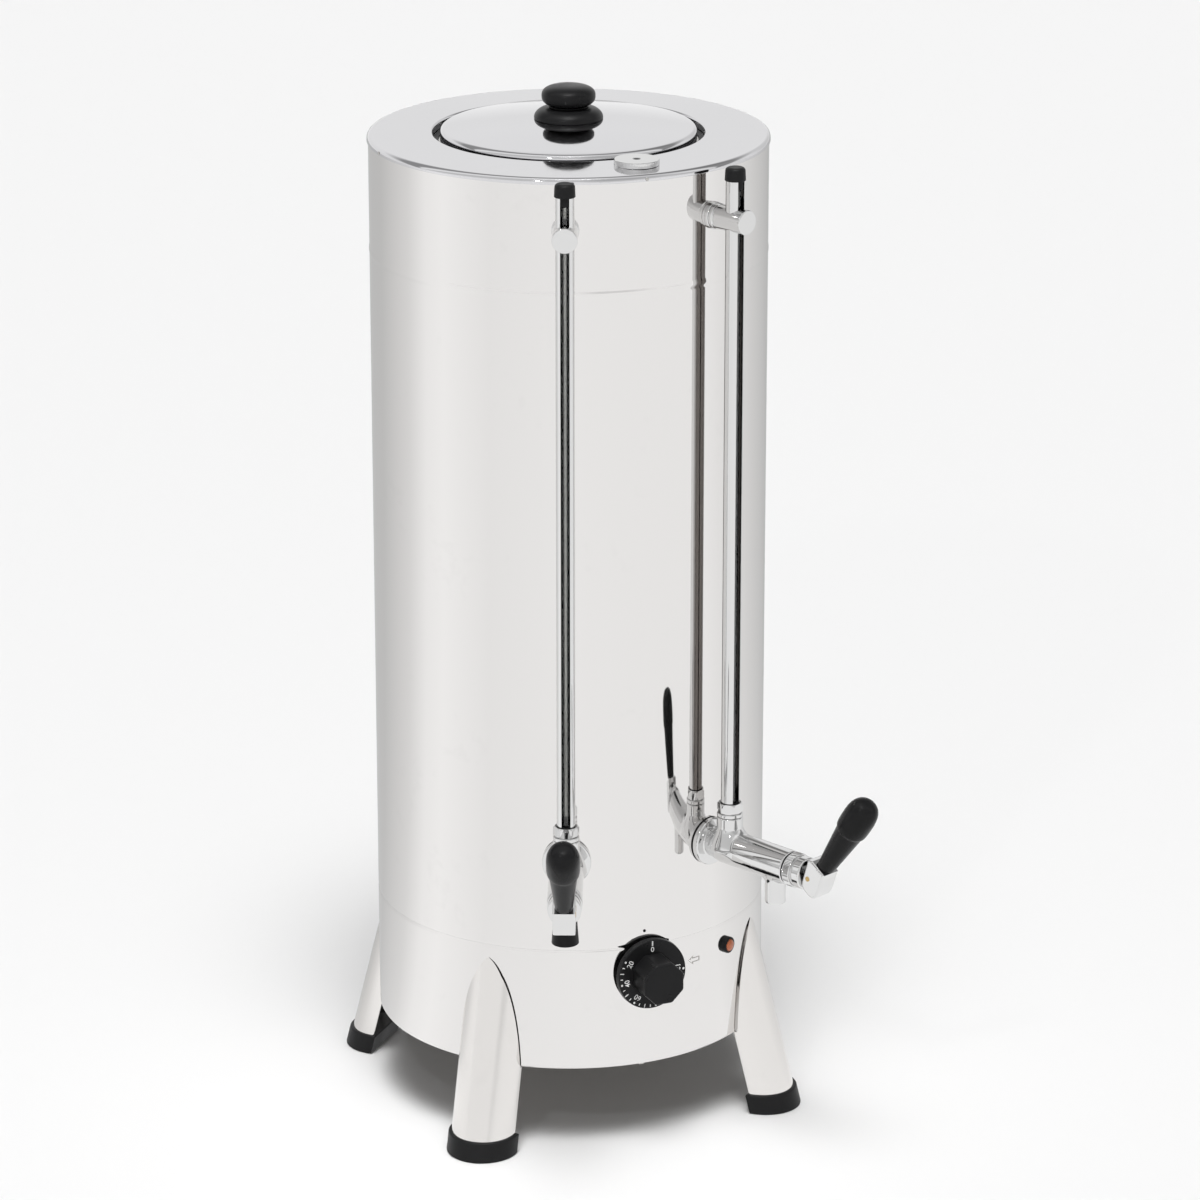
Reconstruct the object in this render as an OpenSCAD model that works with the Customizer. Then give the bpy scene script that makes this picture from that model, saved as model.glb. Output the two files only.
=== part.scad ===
// Coffee urn on four channel legs, with two lever taps and two sight gauges.
// Frame: floor plane z = 0, urn axis = Z, front of the urn faces -Y, sizes in mm.
// Azimuths are measured from the front towards +X.

/* [Body] */
// Outer radius of the cylindrical body
body_r = 165; // [150:1:180]
// Thickness of the body sheet
sheet = 1; // [0.8:0.1:1.4]
// Height of the rim above the floor
rim_z = 840; // [780:5:900]
// Height of the seam between base skirt and shell
seam_z = 180; // [170:1:195]
// Height of the bottom edge of the base skirt
skirt_z = 73; // [60:1:80]
// Distance of the rolled bead below the rim
bead_drop = 97.5; // [80:0.5:120]
// Height of the rolled bead over the shell
bead_h = 1.2; // [0.6:0.1:2]
// Height of the skirt of the top deck
rim_skirt = 6.8; // [6:0.2:10]
// Radius of the rounded outer edge of the top deck
rim_round = 4; // [2:0.2:4.6]

/* [Vessel] */
// Width of the top deck between its opening and the body wall
deck_w = 53; // [47:0.5:57]
// Depth of the lid ledge below the rim
ledge_drop = 8; // [6:0.5:12]
// Width of the lid ledge
ledge_w = 9; // [8:0.5:14]
// Height of the underside of the coffee vessel
vessel_z = 236; // [232:1:242]

/* [Lid] */
// Gap between the lid and the opening
lid_gap = 5.6; // [4:0.2:6]
// Rise of the lid edge above the rim
lid_rise = 3; // [1:0.5:8]
// Height of the lid crown over its edge
lid_crown = 7.5; // [3:0.5:12]
// Largest radius of the lid knob
knob_r = 28.5; // [24:0.5:34]
// Height of the lid knob
knob_h = 27.5; // [24:0.5:36]

/* [Filler] */
// Azimuth of the filler cap
filler_az = 2.4; // [-5:0.1:5]
// Gap between the filler cap and the body wall
filler_edge = 15.2; // [12:0.1:18]
// Gap between the filler cap and the opening of the deck
filler_land = 1.2; // [0.6:0.1:3]
// Thickness of the filler cap
filler_h = 3.6; // [2.6:0.1:5]
// Radius of the vent hole in the filler cap
vent_r = 3.2; // [2:0.2:5]

/* [Taps] */
// Azimuth of each tap from the front
tap_az = 23; // [21:0.5:26]
// Height of the tap axis
tap_z = 260; // [255:1:268]
// Radius of the tap barrel
barrel_r = 14.5; // [13.5:0.1:16]
// Radius of the wall flange
flange_r = 20.3; // [18:0.1:23]
// Distance from gauge axis to valve seat
seat_gap = 18; // [16:0.5:24]
// Distance from valve seat to spout axis
spout_gap = 34; // [30:0.5:40]
// Outer radius of the spout
spout_r = 8.7; // [8:0.1:10]
// Distance of the spout mouth below the tap axis
spout_drop = 34.5; // [30:0.5:44]

/* [Gauges] */
// Distance of the gauge axis from the body
gauge_off = 23; // [20:0.5:28]
// Outer radius of the guard tube
guard_r = 7.7; // [7.4:0.1:8.6]
// Wall of the guard tube
guard_wall = 0.8; // [0.6:0.1:1]
// Width of the sight slot
slot_w = 7.3; // [5:0.1:8]
// Outer radius of the sight glass
glass_r = 5; // [4.4:0.1:5.4]
// Distance of the upper bracket below the rim
bracket_drop = 43.5; // [34:0.5:60]
// Radius of the upper bracket
bracket_r = 10.3; // [10:0.1:12]

/* [Levers] */
// Angle of the grip above the horizontal, valve shut
lever_rest = 56; // [50:1:62]
// Turn of the lever from shut to open
lever_turn = 56; // [45:1:60]
// Lift of the valve when fully open
valve_lift = 5; // [4:0.1:5.4]
// Width of the lever head
head_w = 18.6; // [16:0.2:21]
// Radius of the lever pin
pin_r = 2.2; // [1.8:0.1:2.5]
// Length of the grip
grip_len = 81; // [70:1:95]
// Largest radius of the grip
grip_r = 13.8; // [12:0.1:15]

/* [Controls] */
// Azimuth of the dial
dial_az = 1.4; // [-5:0.2:5]
// Height of the dial
dial_z = 156; // [150:0.5:160]
// Radius of the dial disc
dial_r = 31; // [28:0.5:33]
// Width of the eight-sided dial knob over its corners
dial_knob = 39; // [30:0.5:44]
// Distance of the dial face from the body
dial_out = 32.5; // [28:0.5:42]
// Height of the pilot lamp above the dial
pilot_rise = 3; // [0:0.5:5]
// Azimuth of the pilot lamp
pilot_az = 31; // [27:0.5:32]
// Outer radius of the pilot bezel
pilot_r = 7.1; // [6.4:0.1:8.5]

/* [Legs] */
// Azimuth of the front legs from the front
leg_az = 45; // [44:0.5:50]
// Outer radius of the leg channel
leg_r = 28; // [25:0.5:30]
// Wall of the leg channel
leg_wall = 1.5; // [1.2:0.1:2.5]
// Outward tilt of the legs
leg_tilt = 14.5; // [12:0.5:17]
// Height where a leg leaves the body
arch_z = 169; // [162:1:174]
// Height of the rubber feet
foot_h = 17; // [14:0.5:24]

/* [Hidden] */
$fn = 72;

// clearance between fixed neighbours and between moving neighbours
fit = 0.2;
run = 0.3;
body_in = body_r - sheet;
open_r = body_r - deck_w;
ledge_z = rim_z - ledge_drop;
vessel_r = open_r - ledge_w;
lid_r = open_r - lid_gap;
lid_z = rim_z + lid_rise;
lid_flat = lid_r - 4;
crown_r = (lid_flat * lid_flat + lid_crown * lid_crown) / (2 * lid_crown);
crown_z = lid_z + lid_crown;
floor_z = seam_z + 14;
bracket_z = rim_z - bracket_drop;
pilot_z = dial_z + pilot_rise;
filler_r = (body_r - open_r - filler_edge - filler_land) / 2;
filler_pos = body_r - filler_edge - filler_r;
neck_r = filler_r - 6;
// inside bend of the deck, fasteners and fittings
bend = 2;
gland_r = 7.5;
gland_af = 18.8;
gland_h = 12;
gland_collar = 3.5;
branch_r = 11;
locknut_af = 26;
element_r = 4;
element_af = 16;
screw_r = 1.8;
// tap stations along the radial axis
gauge_x = body_r + gauge_off;
seat_x = gauge_x + seat_gap;
spout_x = seat_x + spout_gap;
end_x = spout_x + spout_r + 9.3;
face_x = end_x + 19.2;
cam_h = 6.5;
cam_k = valve_lift / (lever_turn * PI / 180);
cam_tilt = 14;
pin_x = face_x + run + cam_h;
flange_x = body_r + 5;
shank_r = 9;
inlet_r = 6.5;
chamber_r = barrel_r - 4;
plug_x = spout_x + spout_r - 2.2;
stem_r = 4;
eye_r = 6;
eye_t = 6;
neck_top = tap_z + 36;
nut_top = tap_z + 40;
// grip axis in the lever frame, whose origin is the pin
grip_dir = [cos(lever_rest), sin(lever_rest)];
grip_base = [12, 11.3];
seat_back = 9;
seat_front = 5;

function arc(c, r, a0, a1, n) = [for (i = [0:n]) let(a = a0 + (a1 - a0) * i / n)
  [c[0] + r * cos(a), c[1] + r * sin(a)]];
// rounded tier of a turned knob, from the underside (-90) to the top (90)
function tier(a, b, z, e, t0, t1, n) = [for (i = [0:n]) let(t = t0 + (t1 - t0) * i / n)
  [a * pow(abs(cos(t)), e), z + b * sign(sin(t)) * pow(abs(sin(t)), e)]];
// cam flank: its distance to the pin grows evenly with the lever angle
function cam(t) = let(h = cam_h + cam_k * t * PI / 180, a = 180 + t)
  [h * cos(a) - cam_k * sin(a), h * sin(a) + cam_k * cos(a)];

// local frame: X points outwards at the azimuth, Z up
module radial(a) rotate([0, 0, a - 90]) children();
module pair() for (s = [-1, 1]) radial(s * tap_az) children();
module round4(a0) for (i = [0:3]) radial(a0 + 90 * i) children();
module along_x(x, z) translate([x, 0, z]) rotate([0, 90, 0]) children();
module bar(r, x0, x1, z) along_x(x0, z) cylinder(r = r, h = x1 - x0);
module hex(across, x0, x1, z) along_x(x0, z) cylinder(d = across / cos(30), h = x1 - x0, $fn = 6);
module drum(r, z0, z1) translate([0, 0, z0]) cylinder(r = r, h = z1 - z0, $fn = 180);
module turned(points) rotate_extrude($fn = 180) polygon(points);

module body_shell() color("silver") {
  foot = seam_z - 12;
  bead_z = rim_z - bead_drop;
  spigot = body_in - fit;
  top = rim_z - rim_round + 0.4;
  difference() {
    turned([[spigot - sheet, foot], [spigot, foot], [spigot, seam_z + 0.4], [body_r, seam_z + 0.4],
      [body_r, bead_z - 4], [body_r + bead_h * 0.7, bead_z - 1.6], [body_r + bead_h, bead_z],
      [body_r + bead_h * 0.7, bead_z + 1.6], [body_r, bead_z + 4], [body_r, top], [body_in, top],
      [body_in, seam_z + 0.4 + sheet],
      [spigot - sheet, seam_z + 0.4 + sheet]]);
    pair() bar(shank_r + fit, body_r - 20, body_r + 5, tap_z);
    pair() bar(3 + fit, body_r - 20, body_r + 5, bracket_z);
    round4(0) bar(1, body_r - 10, body_r + 5, rim_z - rim_skirt + 1.8);
  }
  radial(0) bar(1.3, body_r - 0.5, body_r + 0.6, max(seam_z + 2.4, dial_z + dial_r + 6));
}

module base_skirt() color("gainsboro") {
  difference() {
    turned([[body_r - 13, skirt_z], [body_r, skirt_z], [body_r, seam_z], [body_in, seam_z],
      [body_in, skirt_z + sheet], [body_r - 13, skirt_z + sheet]]);
    radial(dial_az) bar(5 + fit, body_r - 20, body_r + 5, dial_z);
    radial(pilot_az) bar(5 + fit, body_r - 20, body_r + 5, pilot_z);
    radial(180) bar(6.8 + fit, body_r - 20, body_r + 5, skirt_z + 30);
    round4(0) translate([body_r - 8, 0, skirt_z - 1]) cylinder(r = screw_r + fit, h = 5);
  }
  // raised arrow beside the dial
  arrow_z = dial_z + 0.8;
  intersection() {
    difference() {
      drum(body_r + 0.5, arrow_z - 9, arrow_z + 9);
      drum(body_r - 0.5, arrow_z - 10, arrow_z + 10);
    }
    radial(17 + dial_r - 31) along_x(body_r - 4, arrow_z) linear_extrude(8)
      polygon([[0, -6], [4, -1], [2, -1], [2, 6], [-2, 6], [-2, -1], [-4, -1]]);
  }
}

module top_deck() color("silver") {
  out = body_r + fit + sheet;
  edge = rim_round - sheet;
  c = [out - rim_round, rim_z - rim_round];
  difference() {
    turned(concat([[out - sheet, rim_z - rim_skirt], [out, rim_z - rim_skirt]],
      arc(c, rim_round, 0, 90, 10),
      arc([open_r + bend, rim_z - bend], bend, 90, 180, 6),
      [[open_r, ledge_z + fit], [open_r + sheet, ledge_z + fit]],
      arc([open_r + bend, rim_z - bend], bend - sheet, 180, 90, 4),
      arc(c, edge, 90, 0, 8)));
    radial(filler_az) translate([filler_pos, 0, rim_z - 10]) cylinder(r = neck_r + 1.5 + fit, h = 20);
    round4(0) bar(1, body_r - 10, body_r + 5, rim_z - rim_skirt + 1.8);
  }
}

module rim_rivets() color("dimgray") round4(0) {
  z = rim_z - rim_skirt + 1.8;
  bar(0.8, body_in - 1.5, body_r + fit + sheet + 0.4, z);
  bar(1.3, body_r + fit + sheet + 0.05, body_r + fit + sheet + 0.8, z);
  bar(1.3, body_in - 1.5, body_in - 0.2, z);
}

module coffee_vessel() color("lightgray") {
  wall = vessel_r + sheet;
  lip = open_r + sheet + fit;
  lip_z = rim_z - bend - fit;
  difference() {
    turned([[0, vessel_z - 4], [wall - 8, vessel_z - 4], [wall, vessel_z + 4], [wall, ledge_z - sheet],
      [lip + sheet, ledge_z - sheet], [lip + sheet, lip_z], [lip, lip_z],
      [lip, ledge_z], [vessel_r, ledge_z], [vessel_r, vessel_z + 4 + sheet * 0.4],
      [wall - 8 - sheet * 0.4, vessel_z - 4 + sheet], [0, vessel_z - 4 + sheet]]);
    radial(-tap_az) bar(6.2 + fit, vessel_r - 10, vessel_r + 10, tap_z);
  }
}

module jacket_floor() color("lightgray") {
  out = body_in - fit;
  difference() {
    turned([[0, floor_z], [out, floor_z], [out, floor_z + 14], [out - sheet, floor_z + 14],
      [out - sheet, floor_z + sheet], [0, floor_z + sheet]]);
    element_ends() translate([0, 0, floor_z - 5]) cylinder(r = element_r + fit, h = 20);
  }
}

module base_cover() color("gray") {
  out = body_in - fit;
  z = skirt_z + sheet + fit;
  difference() {
    drum(out, z, z + sheet);
    round4(0) translate([body_r - 8, 0, z - 1]) cylinder(r = screw_r + fit, h = 5);
  }
}

module cover_screws() color("dimgray") round4(0) translate([body_r - 8, 0, skirt_z]) {
  translate([0, 0, -2.4]) cylinder(r = screw_r * 1.9, h = 2.3);
  translate([0, 0, -0.2]) cylinder(r = screw_r, h = screw_r * 5);
}

// leg frame: Z runs up the leg axis, X points outwards
module leg_frame() translate([body_r + arch_z * tan(leg_tilt), 0, 0]) rotate([0, -leg_tilt, 0])
  translate([-leg_r, 0, 0]) children();

module channel(r_out, r_in, back) difference() {
  translate([0, 0, -30]) cylinder(r = r_out, h = arch_z + 90);
  translate([0, 0, -31]) cylinder(r = r_in, h = arch_z + 92);
  translate([-2 * leg_r - back, -leg_r * 2, -31]) cube([2 * leg_r, 4 * leg_r, arch_z + 92]);
}

module leg(a) color("silver") radial(a) difference() {
  leg_frame() channel(leg_r, leg_r - leg_wall, 0);
  drum(body_r + fit, skirt_z - fit, arch_z + 150);
  translate([0, -100, -50]) cube([400, 200, 50 + 6]);
}
module leg_front_left() leg(-leg_az);
module leg_front_right() leg(leg_az);
module leg_rear_left() leg(180 + leg_az);
module leg_rear_right() leg(180 - leg_az);

module rubber_feet() color("black") for (a = [-leg_az, leg_az, 180 - leg_az, 180 + leg_az]) radial(a)
  difference() {
    intersection() {
      leg_frame() difference() {
        translate([0, 0, -30]) cylinder(r = leg_r + 2.5, h = foot_h + 80);
        translate([-2 * leg_r - 2.5, -leg_r * 2, -31]) cube([2 * leg_r, 4 * leg_r, foot_h + 82]);
      }
      translate([0, -100, 0]) cube([400, 200, foot_h]);
    }
    intersection() {
      leg_frame() channel(leg_r + fit, leg_r - leg_wall - fit, fit);
      translate([0, -100, 6 - fit]) cube([400, 200, 100]);
    }
  }

module filler_neck() color("silver") radial(filler_az) translate([filler_pos, 0, rim_z]) difference() {
  union() {
    translate([0, 0, -16]) cylinder(r = neck_r + 1.5, h = 16);
    translate([0, 0, -sheet - fit - 1.5]) cylinder(r = neck_r + 4, h = 1.5);
  }
  translate([0, 0, -17]) cylinder(r = neck_r, h = 30);
}

module filler_cap() color("silver") radial(filler_az) translate([filler_pos, 0, rim_z]) difference() {
  union() {
    rotate_extrude() polygon([[0, run], [filler_r - 0.3, run], [filler_r, run + 0.3],
      [filler_r, run + filler_h - 0.6], [filler_r - 0.6, run + filler_h], [0, run + filler_h]]);
    translate([0, 0, -7]) cylinder(r = neck_r - run, h = 8);
  }
  translate([0, 0, -8]) cylinder(r = vent_r, h = 20);
}

module coffee_pipe() color("silver") radial(-tap_az) difference() {
  bar(6.2, vessel_r + 0.1, body_r - 5, tap_z);
  bar(5.2, vessel_r - 1, body_r, tap_z);
}

ring_r = (vessel_r + body_r) / 2;
module element_ends() for (a = [162, 198]) radial(a) translate([ring_r, 0, 0]) children();
module heating_element() color("darkslategray") {
  z = floor_z + 22;
  radial(198) rotate_extrude(angle = 324, $fn = 120) translate([ring_r, z])
    circle(r = element_r, $fn = 32);
  element_ends() translate([0, 0, z]) sphere(r = element_r, $fn = 32);
  element_ends() translate([0, 0, floor_z - 24]) cylinder(r = element_r, h = z - floor_z + 24);
}
module element_nuts() color("goldenrod") element_ends() difference() {
  translate([0, 0, floor_z - element_r * 1.5 - fit]) cylinder(d = element_af / cos(30), h = element_r * 1.5,
    $fn = 6);
  translate([0, 0, floor_z - 10]) cylinder(r = element_r + fit, h = 20);
}

module thermostat_body() color("ivory") radial(dial_az) difference() {
  union() {
    translate([body_r - 40, -17, dial_z - 20]) cube([30, 34, 40]);
    bar(5, body_r - 11, body_r + 1.6, dial_z);
  }
  bar(3 + run, body_r - 18, body_r + 5, dial_z);
}

module dial_spindle() color("silver") radial(dial_az)
  bar(3, body_r - 17, body_r + dial_out - 14, dial_z);

module thermostat_dial() color("black") radial(dial_az) {
  back = body_r + 2.5;
  disc = back + 5;
  face = body_r + dial_out;
  difference() {
    union() {
      along_x(0, dial_z) rotate_extrude($fn = 120)
        polygon([[0, back], [dial_r - 1, back], [dial_r, back + 1], [dial_r - 1, disc - 1],
          [dial_r - 2, disc], [0, disc]]);
      intersection() {
        along_x(disc - 1, dial_z) rotate([0, 0, 22.5])
          cylinder(d = dial_knob, h = face - disc + 1, $fn = 8);
        along_x(0, dial_z) rotate_extrude($fn = 120) polygon([[0, disc - 2], [dial_knob, disc - 2],
          [dial_knob / 2 + 4, face - 5], [dial_knob / 2 - 1.4, face], [0, face]]);
      }
    }
    bar(3.05, back - 1, body_r + dial_out - 13, dial_z);
  }
}

module pilot_bezel() color("black") radial(pilot_az) difference() {
  union() {
    difference() {
      bar(pilot_r, body_r - 3, body_r + 4.2, pilot_z);
      drum(body_r + 0.1, pilot_z - 20, pilot_z + 20);
    }
    bar(5, body_r - 18, body_r + 2, pilot_z);
  }
  bar(4.2, body_r - 12, body_r + 9, pilot_z);
  bar(5.3, body_r + 1.6, body_r + 9, pilot_z);
}
module pilot_lens() color("orangered") radial(pilot_az) along_x(body_r, pilot_z)
  rotate_extrude($fn = 48) polygon(concat([[0, -11.8], [4, -11.8], [4, 1.8], [5.1, 1.8], [5.1, 3.8]],
    [for (t = [15:15:90]) [5.1 * cos(t), 3.8 + 2.3 * sin(t)]]));

module cord_grommet() color("black") radial(180) difference() {
  union() {
    difference() {
      bar(10, body_r - 4, body_r + 3, skirt_z + 30);
      drum(body_r + 0.1, skirt_z, skirt_z + 60);
    }
    bar(6.8, body_r - 7, body_r + 2, skirt_z + 30);
    bar(9, body_r - 7, body_in - 0.8, skirt_z + 30);
  }
  bar(4, body_r - 20, body_r + 20, skirt_z + 30);
}

module tap_body(inner) color("silver") difference() {
  union() {
    along_x(0, tap_z) rotate_extrude() polygon([[0, flange_x + fit], [barrel_r - 2.3, flange_x + fit],
      [barrel_r - 2, flange_x + 5], [barrel_r - 0.8, flange_x + 10], [barrel_r, flange_x + 14],
      [barrel_r, end_x - 0.6], [barrel_r - 0.6, end_x], [0, end_x]]);
    bar(shank_r, inner, flange_x + 2, tap_z);
    translate([gauge_x, 0, tap_z]) {
      cylinder(r = branch_r, h = nut_top - gland_h - fit - tap_z);
      cylinder(r1 = 17, r2 = branch_r, h = 18);
      cylinder(r = gland_r, h = neck_top - tap_z);
    }
    translate([spout_x, 0, tap_z - spout_drop]) cylinder(r = spout_r, h = spout_drop);
  }
  bar(inlet_r, inner - 1, seat_x + 1, tap_z);
  bar(chamber_r, seat_x, end_x + 1, tap_z);
  translate([gauge_x, 0, tap_z]) cylinder(r = 3.4, h = 50);
  translate([gauge_x, 0, tap_z + 26]) cylinder(r = glass_r + fit, h = 20);
  translate([spout_x, 0, tap_z - spout_drop - 1]) cylinder(r = spout_r - 2.4, h = spout_drop);
}
module coffee_tap_body() radial(-tap_az) tap_body(body_r - 22);
module water_tap_body() radial(tap_az) tap_body(body_r - 18);

// drip nozzle pushed over the mouth of the coffee spout
module coffee_nozzle() color("black") radial(-tap_az) translate([spout_x, 0, tap_z - spout_drop])
  rotate_extrude() polygon([[spout_r - 1.3, -8], [spout_r + 2, -8], [spout_r + 2.6, -7.4],
    [spout_r + 1.2, 11], [spout_r + fit, 11], [spout_r + fit, -fit], [spout_r - 1.3, -fit]]);

module tap_flanges() color("silver") pair() difference() {
  along_x(0, tap_z) rotate_extrude() polygon([[0, body_r - 4], [flange_r, body_r - 4],
    [flange_r, flange_x - 1.4], [flange_r - 1.4, flange_x], [0, flange_x]]);
  drum(body_r + 1 + fit, tap_z - 40, tap_z + 40);
  bar(shank_r + fit, body_r - 20, body_r + 20, tap_z);
}
module tap_gaskets() color("black") pair() intersection() {
  difference() {
    bar(flange_r - 1, body_r - 6, body_r + 6, tap_z);
    bar(shank_r + fit, body_r - 7, body_r + 7, tap_z);
  }
  difference() {
    drum(body_r + 1.1, tap_z - 30, tap_z + 30);
    drum(body_r + 0.1, tap_z - 31, tap_z + 31);
  }
}
module tap_locknuts() color("goldenrod") pair() difference() {
  hex(locknut_af, body_r - 12, body_in - 1.2, tap_z);
  bar(shank_r + fit, body_r - 20, body_r, tap_z);
}

module bonnet() color("silver") difference() {
  union() {
    bar(chamber_r - fit, plug_x, end_x + 2, tap_z);
    along_x(end_x + 1.4, tap_z) linear_extrude(7.6) polygon([for (i = [0:119])
      let(r = barrel_r - (i % 2 == 0 ? 0.1 : 0.7)) [r * cos(i * 3), r * sin(i * 3)]]);
    along_x(0, tap_z) rotate_extrude() polygon([[0, end_x + 8.8], [barrel_r - 2.2, end_x + 8.8],
      [barrel_r - 2.2, end_x + 11], [barrel_r - 0.9, end_x + 12], [barrel_r - 0.9, face_x - 1],
      [barrel_r - 1.9, face_x], [0, face_x]]);
  }
  bar(stem_r + run, plug_x - 1, face_x + 1, tap_z);
}
module coffee_bonnet() radial(-tap_az) bonnet();
module water_bonnet() radial(tap_az) bonnet();
module bonnet_orings() color("black") pair() difference() {
  bar(barrel_r - 0.6, end_x + 0.1, end_x + 1.3, tap_z);
  bar(chamber_r, end_x - 1, end_x + 4, tap_z);
}

// closed coil drawn as a ribbed sleeve
module spring() color("gray") {
  x0 = seat_x + 7.2;
  step = (plug_x - fit - x0) / 9;
  along_x(x0, tap_z) rotate_extrude($fn = 48) polygon(concat(
    [for (i = [0:18]) [6.6 + (i % 2) * 1.2, i * step / 2]],
    [for (i = [18:-1:0]) [5.4 + (i % 2) * 1.2, i * step / 2]]));
}
module coffee_spring() radial(-tap_az) spring();
module water_spring() radial(tap_az) spring();

module stem() color("silver") difference() {
  union() {
    bar(4.4, seat_x - 2.6, seat_x + 0.1, tap_z);
    bar(2.5, seat_x - 1, seat_x + 6, tap_z);
    bar(7.8, seat_x + 4.5, seat_x + 7, tap_z);
    difference() {
      bar(stem_r, seat_x + 6, pin_x, tap_z);
      for (s = [-1, 1]) translate([pin_x - 13, s * (eye_t / 2 + 5) - 5, tap_z - 10]) cube([40, 10, 20]);
    }
    translate([pin_x, eye_t / 2, tap_z]) rotate([90, 0, 0]) cylinder(r = eye_r, h = eye_t);
  }
  translate([pin_x, 20, tap_z]) rotate([90, 0, 0]) cylinder(r = pin_r + 0.08, h = 40);
}
module coffee_stem() radial(-tap_az) stem();
module water_stem() radial(tap_az) stem();

module valve_disc() color("dimgray") difference() {
  bar(chamber_r - 1.2, seat_x + run, seat_x + 4.3, tap_z);
  bar(2.6, seat_x - 1, seat_x + 6, tap_z);
}
module coffee_valve_disc() radial(-tap_az) valve_disc();
module water_valve_disc() radial(tap_az) valve_disc();

// lever frame: origin on the pin, X outwards, Z up, drawn with the valve shut
module lever_frame(a) radial(a) translate([pin_x, 0, tap_z]) children();
module side_plate(points, w) rotate([90, 0, 0]) translate([0, 0, -w / 2]) linear_extrude(w)
  polygon(points);
// grip frame: Z runs out along the grip
module grip_frame() translate([grip_base[0], 0, grip_base[1]]) rotate([0, 90 - lever_rest, 0])
  children();

module lever_head(a) color("silver") lever_frame(a) difference() {
  across = [grip_dir[1], -grip_dir[0]];
  union() {
    side_plate(concat([[0, 16.5], grip_base - seat_back * across, grip_base + seat_front * across,
      [15.6, 2.5], [13, -6], [10.5, -11.5], [8, -14.8], [6.6, -15.6], [3.9, -15.9], [1, -14.6]],
      [for (t = [lever_turn + 3:-3:-cam_tilt]) cam(t)]), head_w);
    grip_frame() translate([0, 0, -4]) cylinder(r = 3, h = 34);
  }
  rotate([90, 0, 0]) translate([0, 0, -eye_t / 2 - run]) linear_extrude(eye_t + 2 * run)
    polygon([[-20, -30], [4, -30], [eye_r + 1, -4], [eye_r + 1, 6], [0, 12], [-20, 12]]);
  translate([0, 20, 0]) rotate([90, 0, 0]) cylinder(r = pin_r + 0.02, h = 40);
}
module coffee_lever_head() lever_head(-tap_az);
module water_lever_head() lever_head(tap_az);

module lever_pin(a) color("goldenrod") lever_frame(a) translate([0, head_w / 2 + 0.2, 0])
  rotate([90, 0, 0]) cylinder(r = pin_r, h = head_w + 0.4);
module coffee_lever_pin() lever_pin(-tap_az);
module water_lever_pin() lever_pin(tap_az);

module lever_grip(a) color("black") lever_frame(a) grip_frame() rotate_extrude() difference() {
  polygon(concat([[0, 0.1], [grip_r - 5, 0.1], [grip_r - 4.5, 1.2], [grip_r - 1.5, grip_len * 0.575],
    [grip_r - 0.6, grip_len * 0.595]], tier(grip_r, grip_len * 0.27, grip_len * 0.73, 0.7, 0, 90, 14)));
  translate([-1, -1]) square([4.1, 32]);
}
module coffee_lever_grip() lever_grip(-tap_az);
module water_lever_grip() lever_grip(tap_az);

module guard_tube() color("silver") translate([gauge_x, 0, 0]) difference() {
  translate([0, 0, neck_top + 0.3]) cylinder(r = guard_r, h = rim_z - 7 - neck_top - 0.3);
  translate([0, 0, neck_top - 1]) cylinder(r = guard_r - guard_wall, h = rim_z);
  translate([0, -slot_w / 2, nut_top + 0.6]) cube([20, slot_w, rim_z - 9.4 - nut_top]);
}
module coffee_guard_tube() radial(-tap_az) guard_tube();
module water_guard_tube() radial(tap_az) guard_tube();

module sight_glass() color("lightcyan", 0.5) translate([gauge_x, 0, tap_z + 26.2]) difference() {
  cylinder(r = glass_r, h = rim_z - 18.2 - tap_z - 26.2);
  translate([0, 0, -1]) cylinder(r = glass_r - 1.3, h = rim_z);
}
module coffee_sight_glass() radial(-tap_az) sight_glass();
module water_sight_glass() radial(tap_az) sight_glass();

module gauge_caps() color("black") pair() translate([gauge_x, 0, rim_z]) difference() {
  rotate_extrude() polygon(concat([[0, -18], [guard_r - guard_wall - fit, -18],
    [guard_r - guard_wall - fit, -12], [guard_r + 0.7, -11], [guard_r + 1.1, -10.2]],
    arc([guard_r - 2.8, -3], 3, 8, 90, 6), [[0, 0]]));
  difference() {
    translate([0, 0, -14]) cylinder(r = guard_r + fit, h = 7.2);
    translate([0, 0, -20]) cylinder(r = guard_r - guard_wall - fit, h = 20);
  }
}

module gauge_bracket() color("silver") difference() {
  union() {
    along_x(0, bracket_z) rotate_extrude() polygon([[0, body_r - 3], [bracket_r + 0.9, body_r - 3],
      [bracket_r + 0.9, body_r + 2.4], [bracket_r - 0.5, body_r + 3], [bracket_r - 0.5, body_r + 3.8],
      [bracket_r + 0.5, body_r + 4.2], [bracket_r + 0.5, body_r + 6.2], [bracket_r - 0.9, body_r + 7],
      [bracket_r, body_r + 8.4], [bracket_r, gauge_x + 13.2], [bracket_r - 0.8, gauge_x + 14],
      [0, gauge_x + 14]]);
  }
  drum(body_r + 0.1, bracket_z - 20, bracket_z + 20);
  translate([gauge_x, 0, bracket_z - 30]) cylinder(r = guard_r + fit, h = 60);
  bar(2.6, body_r - 20, body_r + 8, bracket_z);
}
module coffee_gauge_bracket() radial(-tap_az) gauge_bracket();
module water_gauge_bracket() radial(tap_az) gauge_bracket();

// bracket fixing: stud with its nut inside the shell
module bracket_nuts() color("goldenrod") pair() {
  bar(2.5, body_r - 12, body_r + 7.6, bracket_z);
  hex(10, body_r - 9, body_in - 0.4, bracket_z);
}

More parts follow.
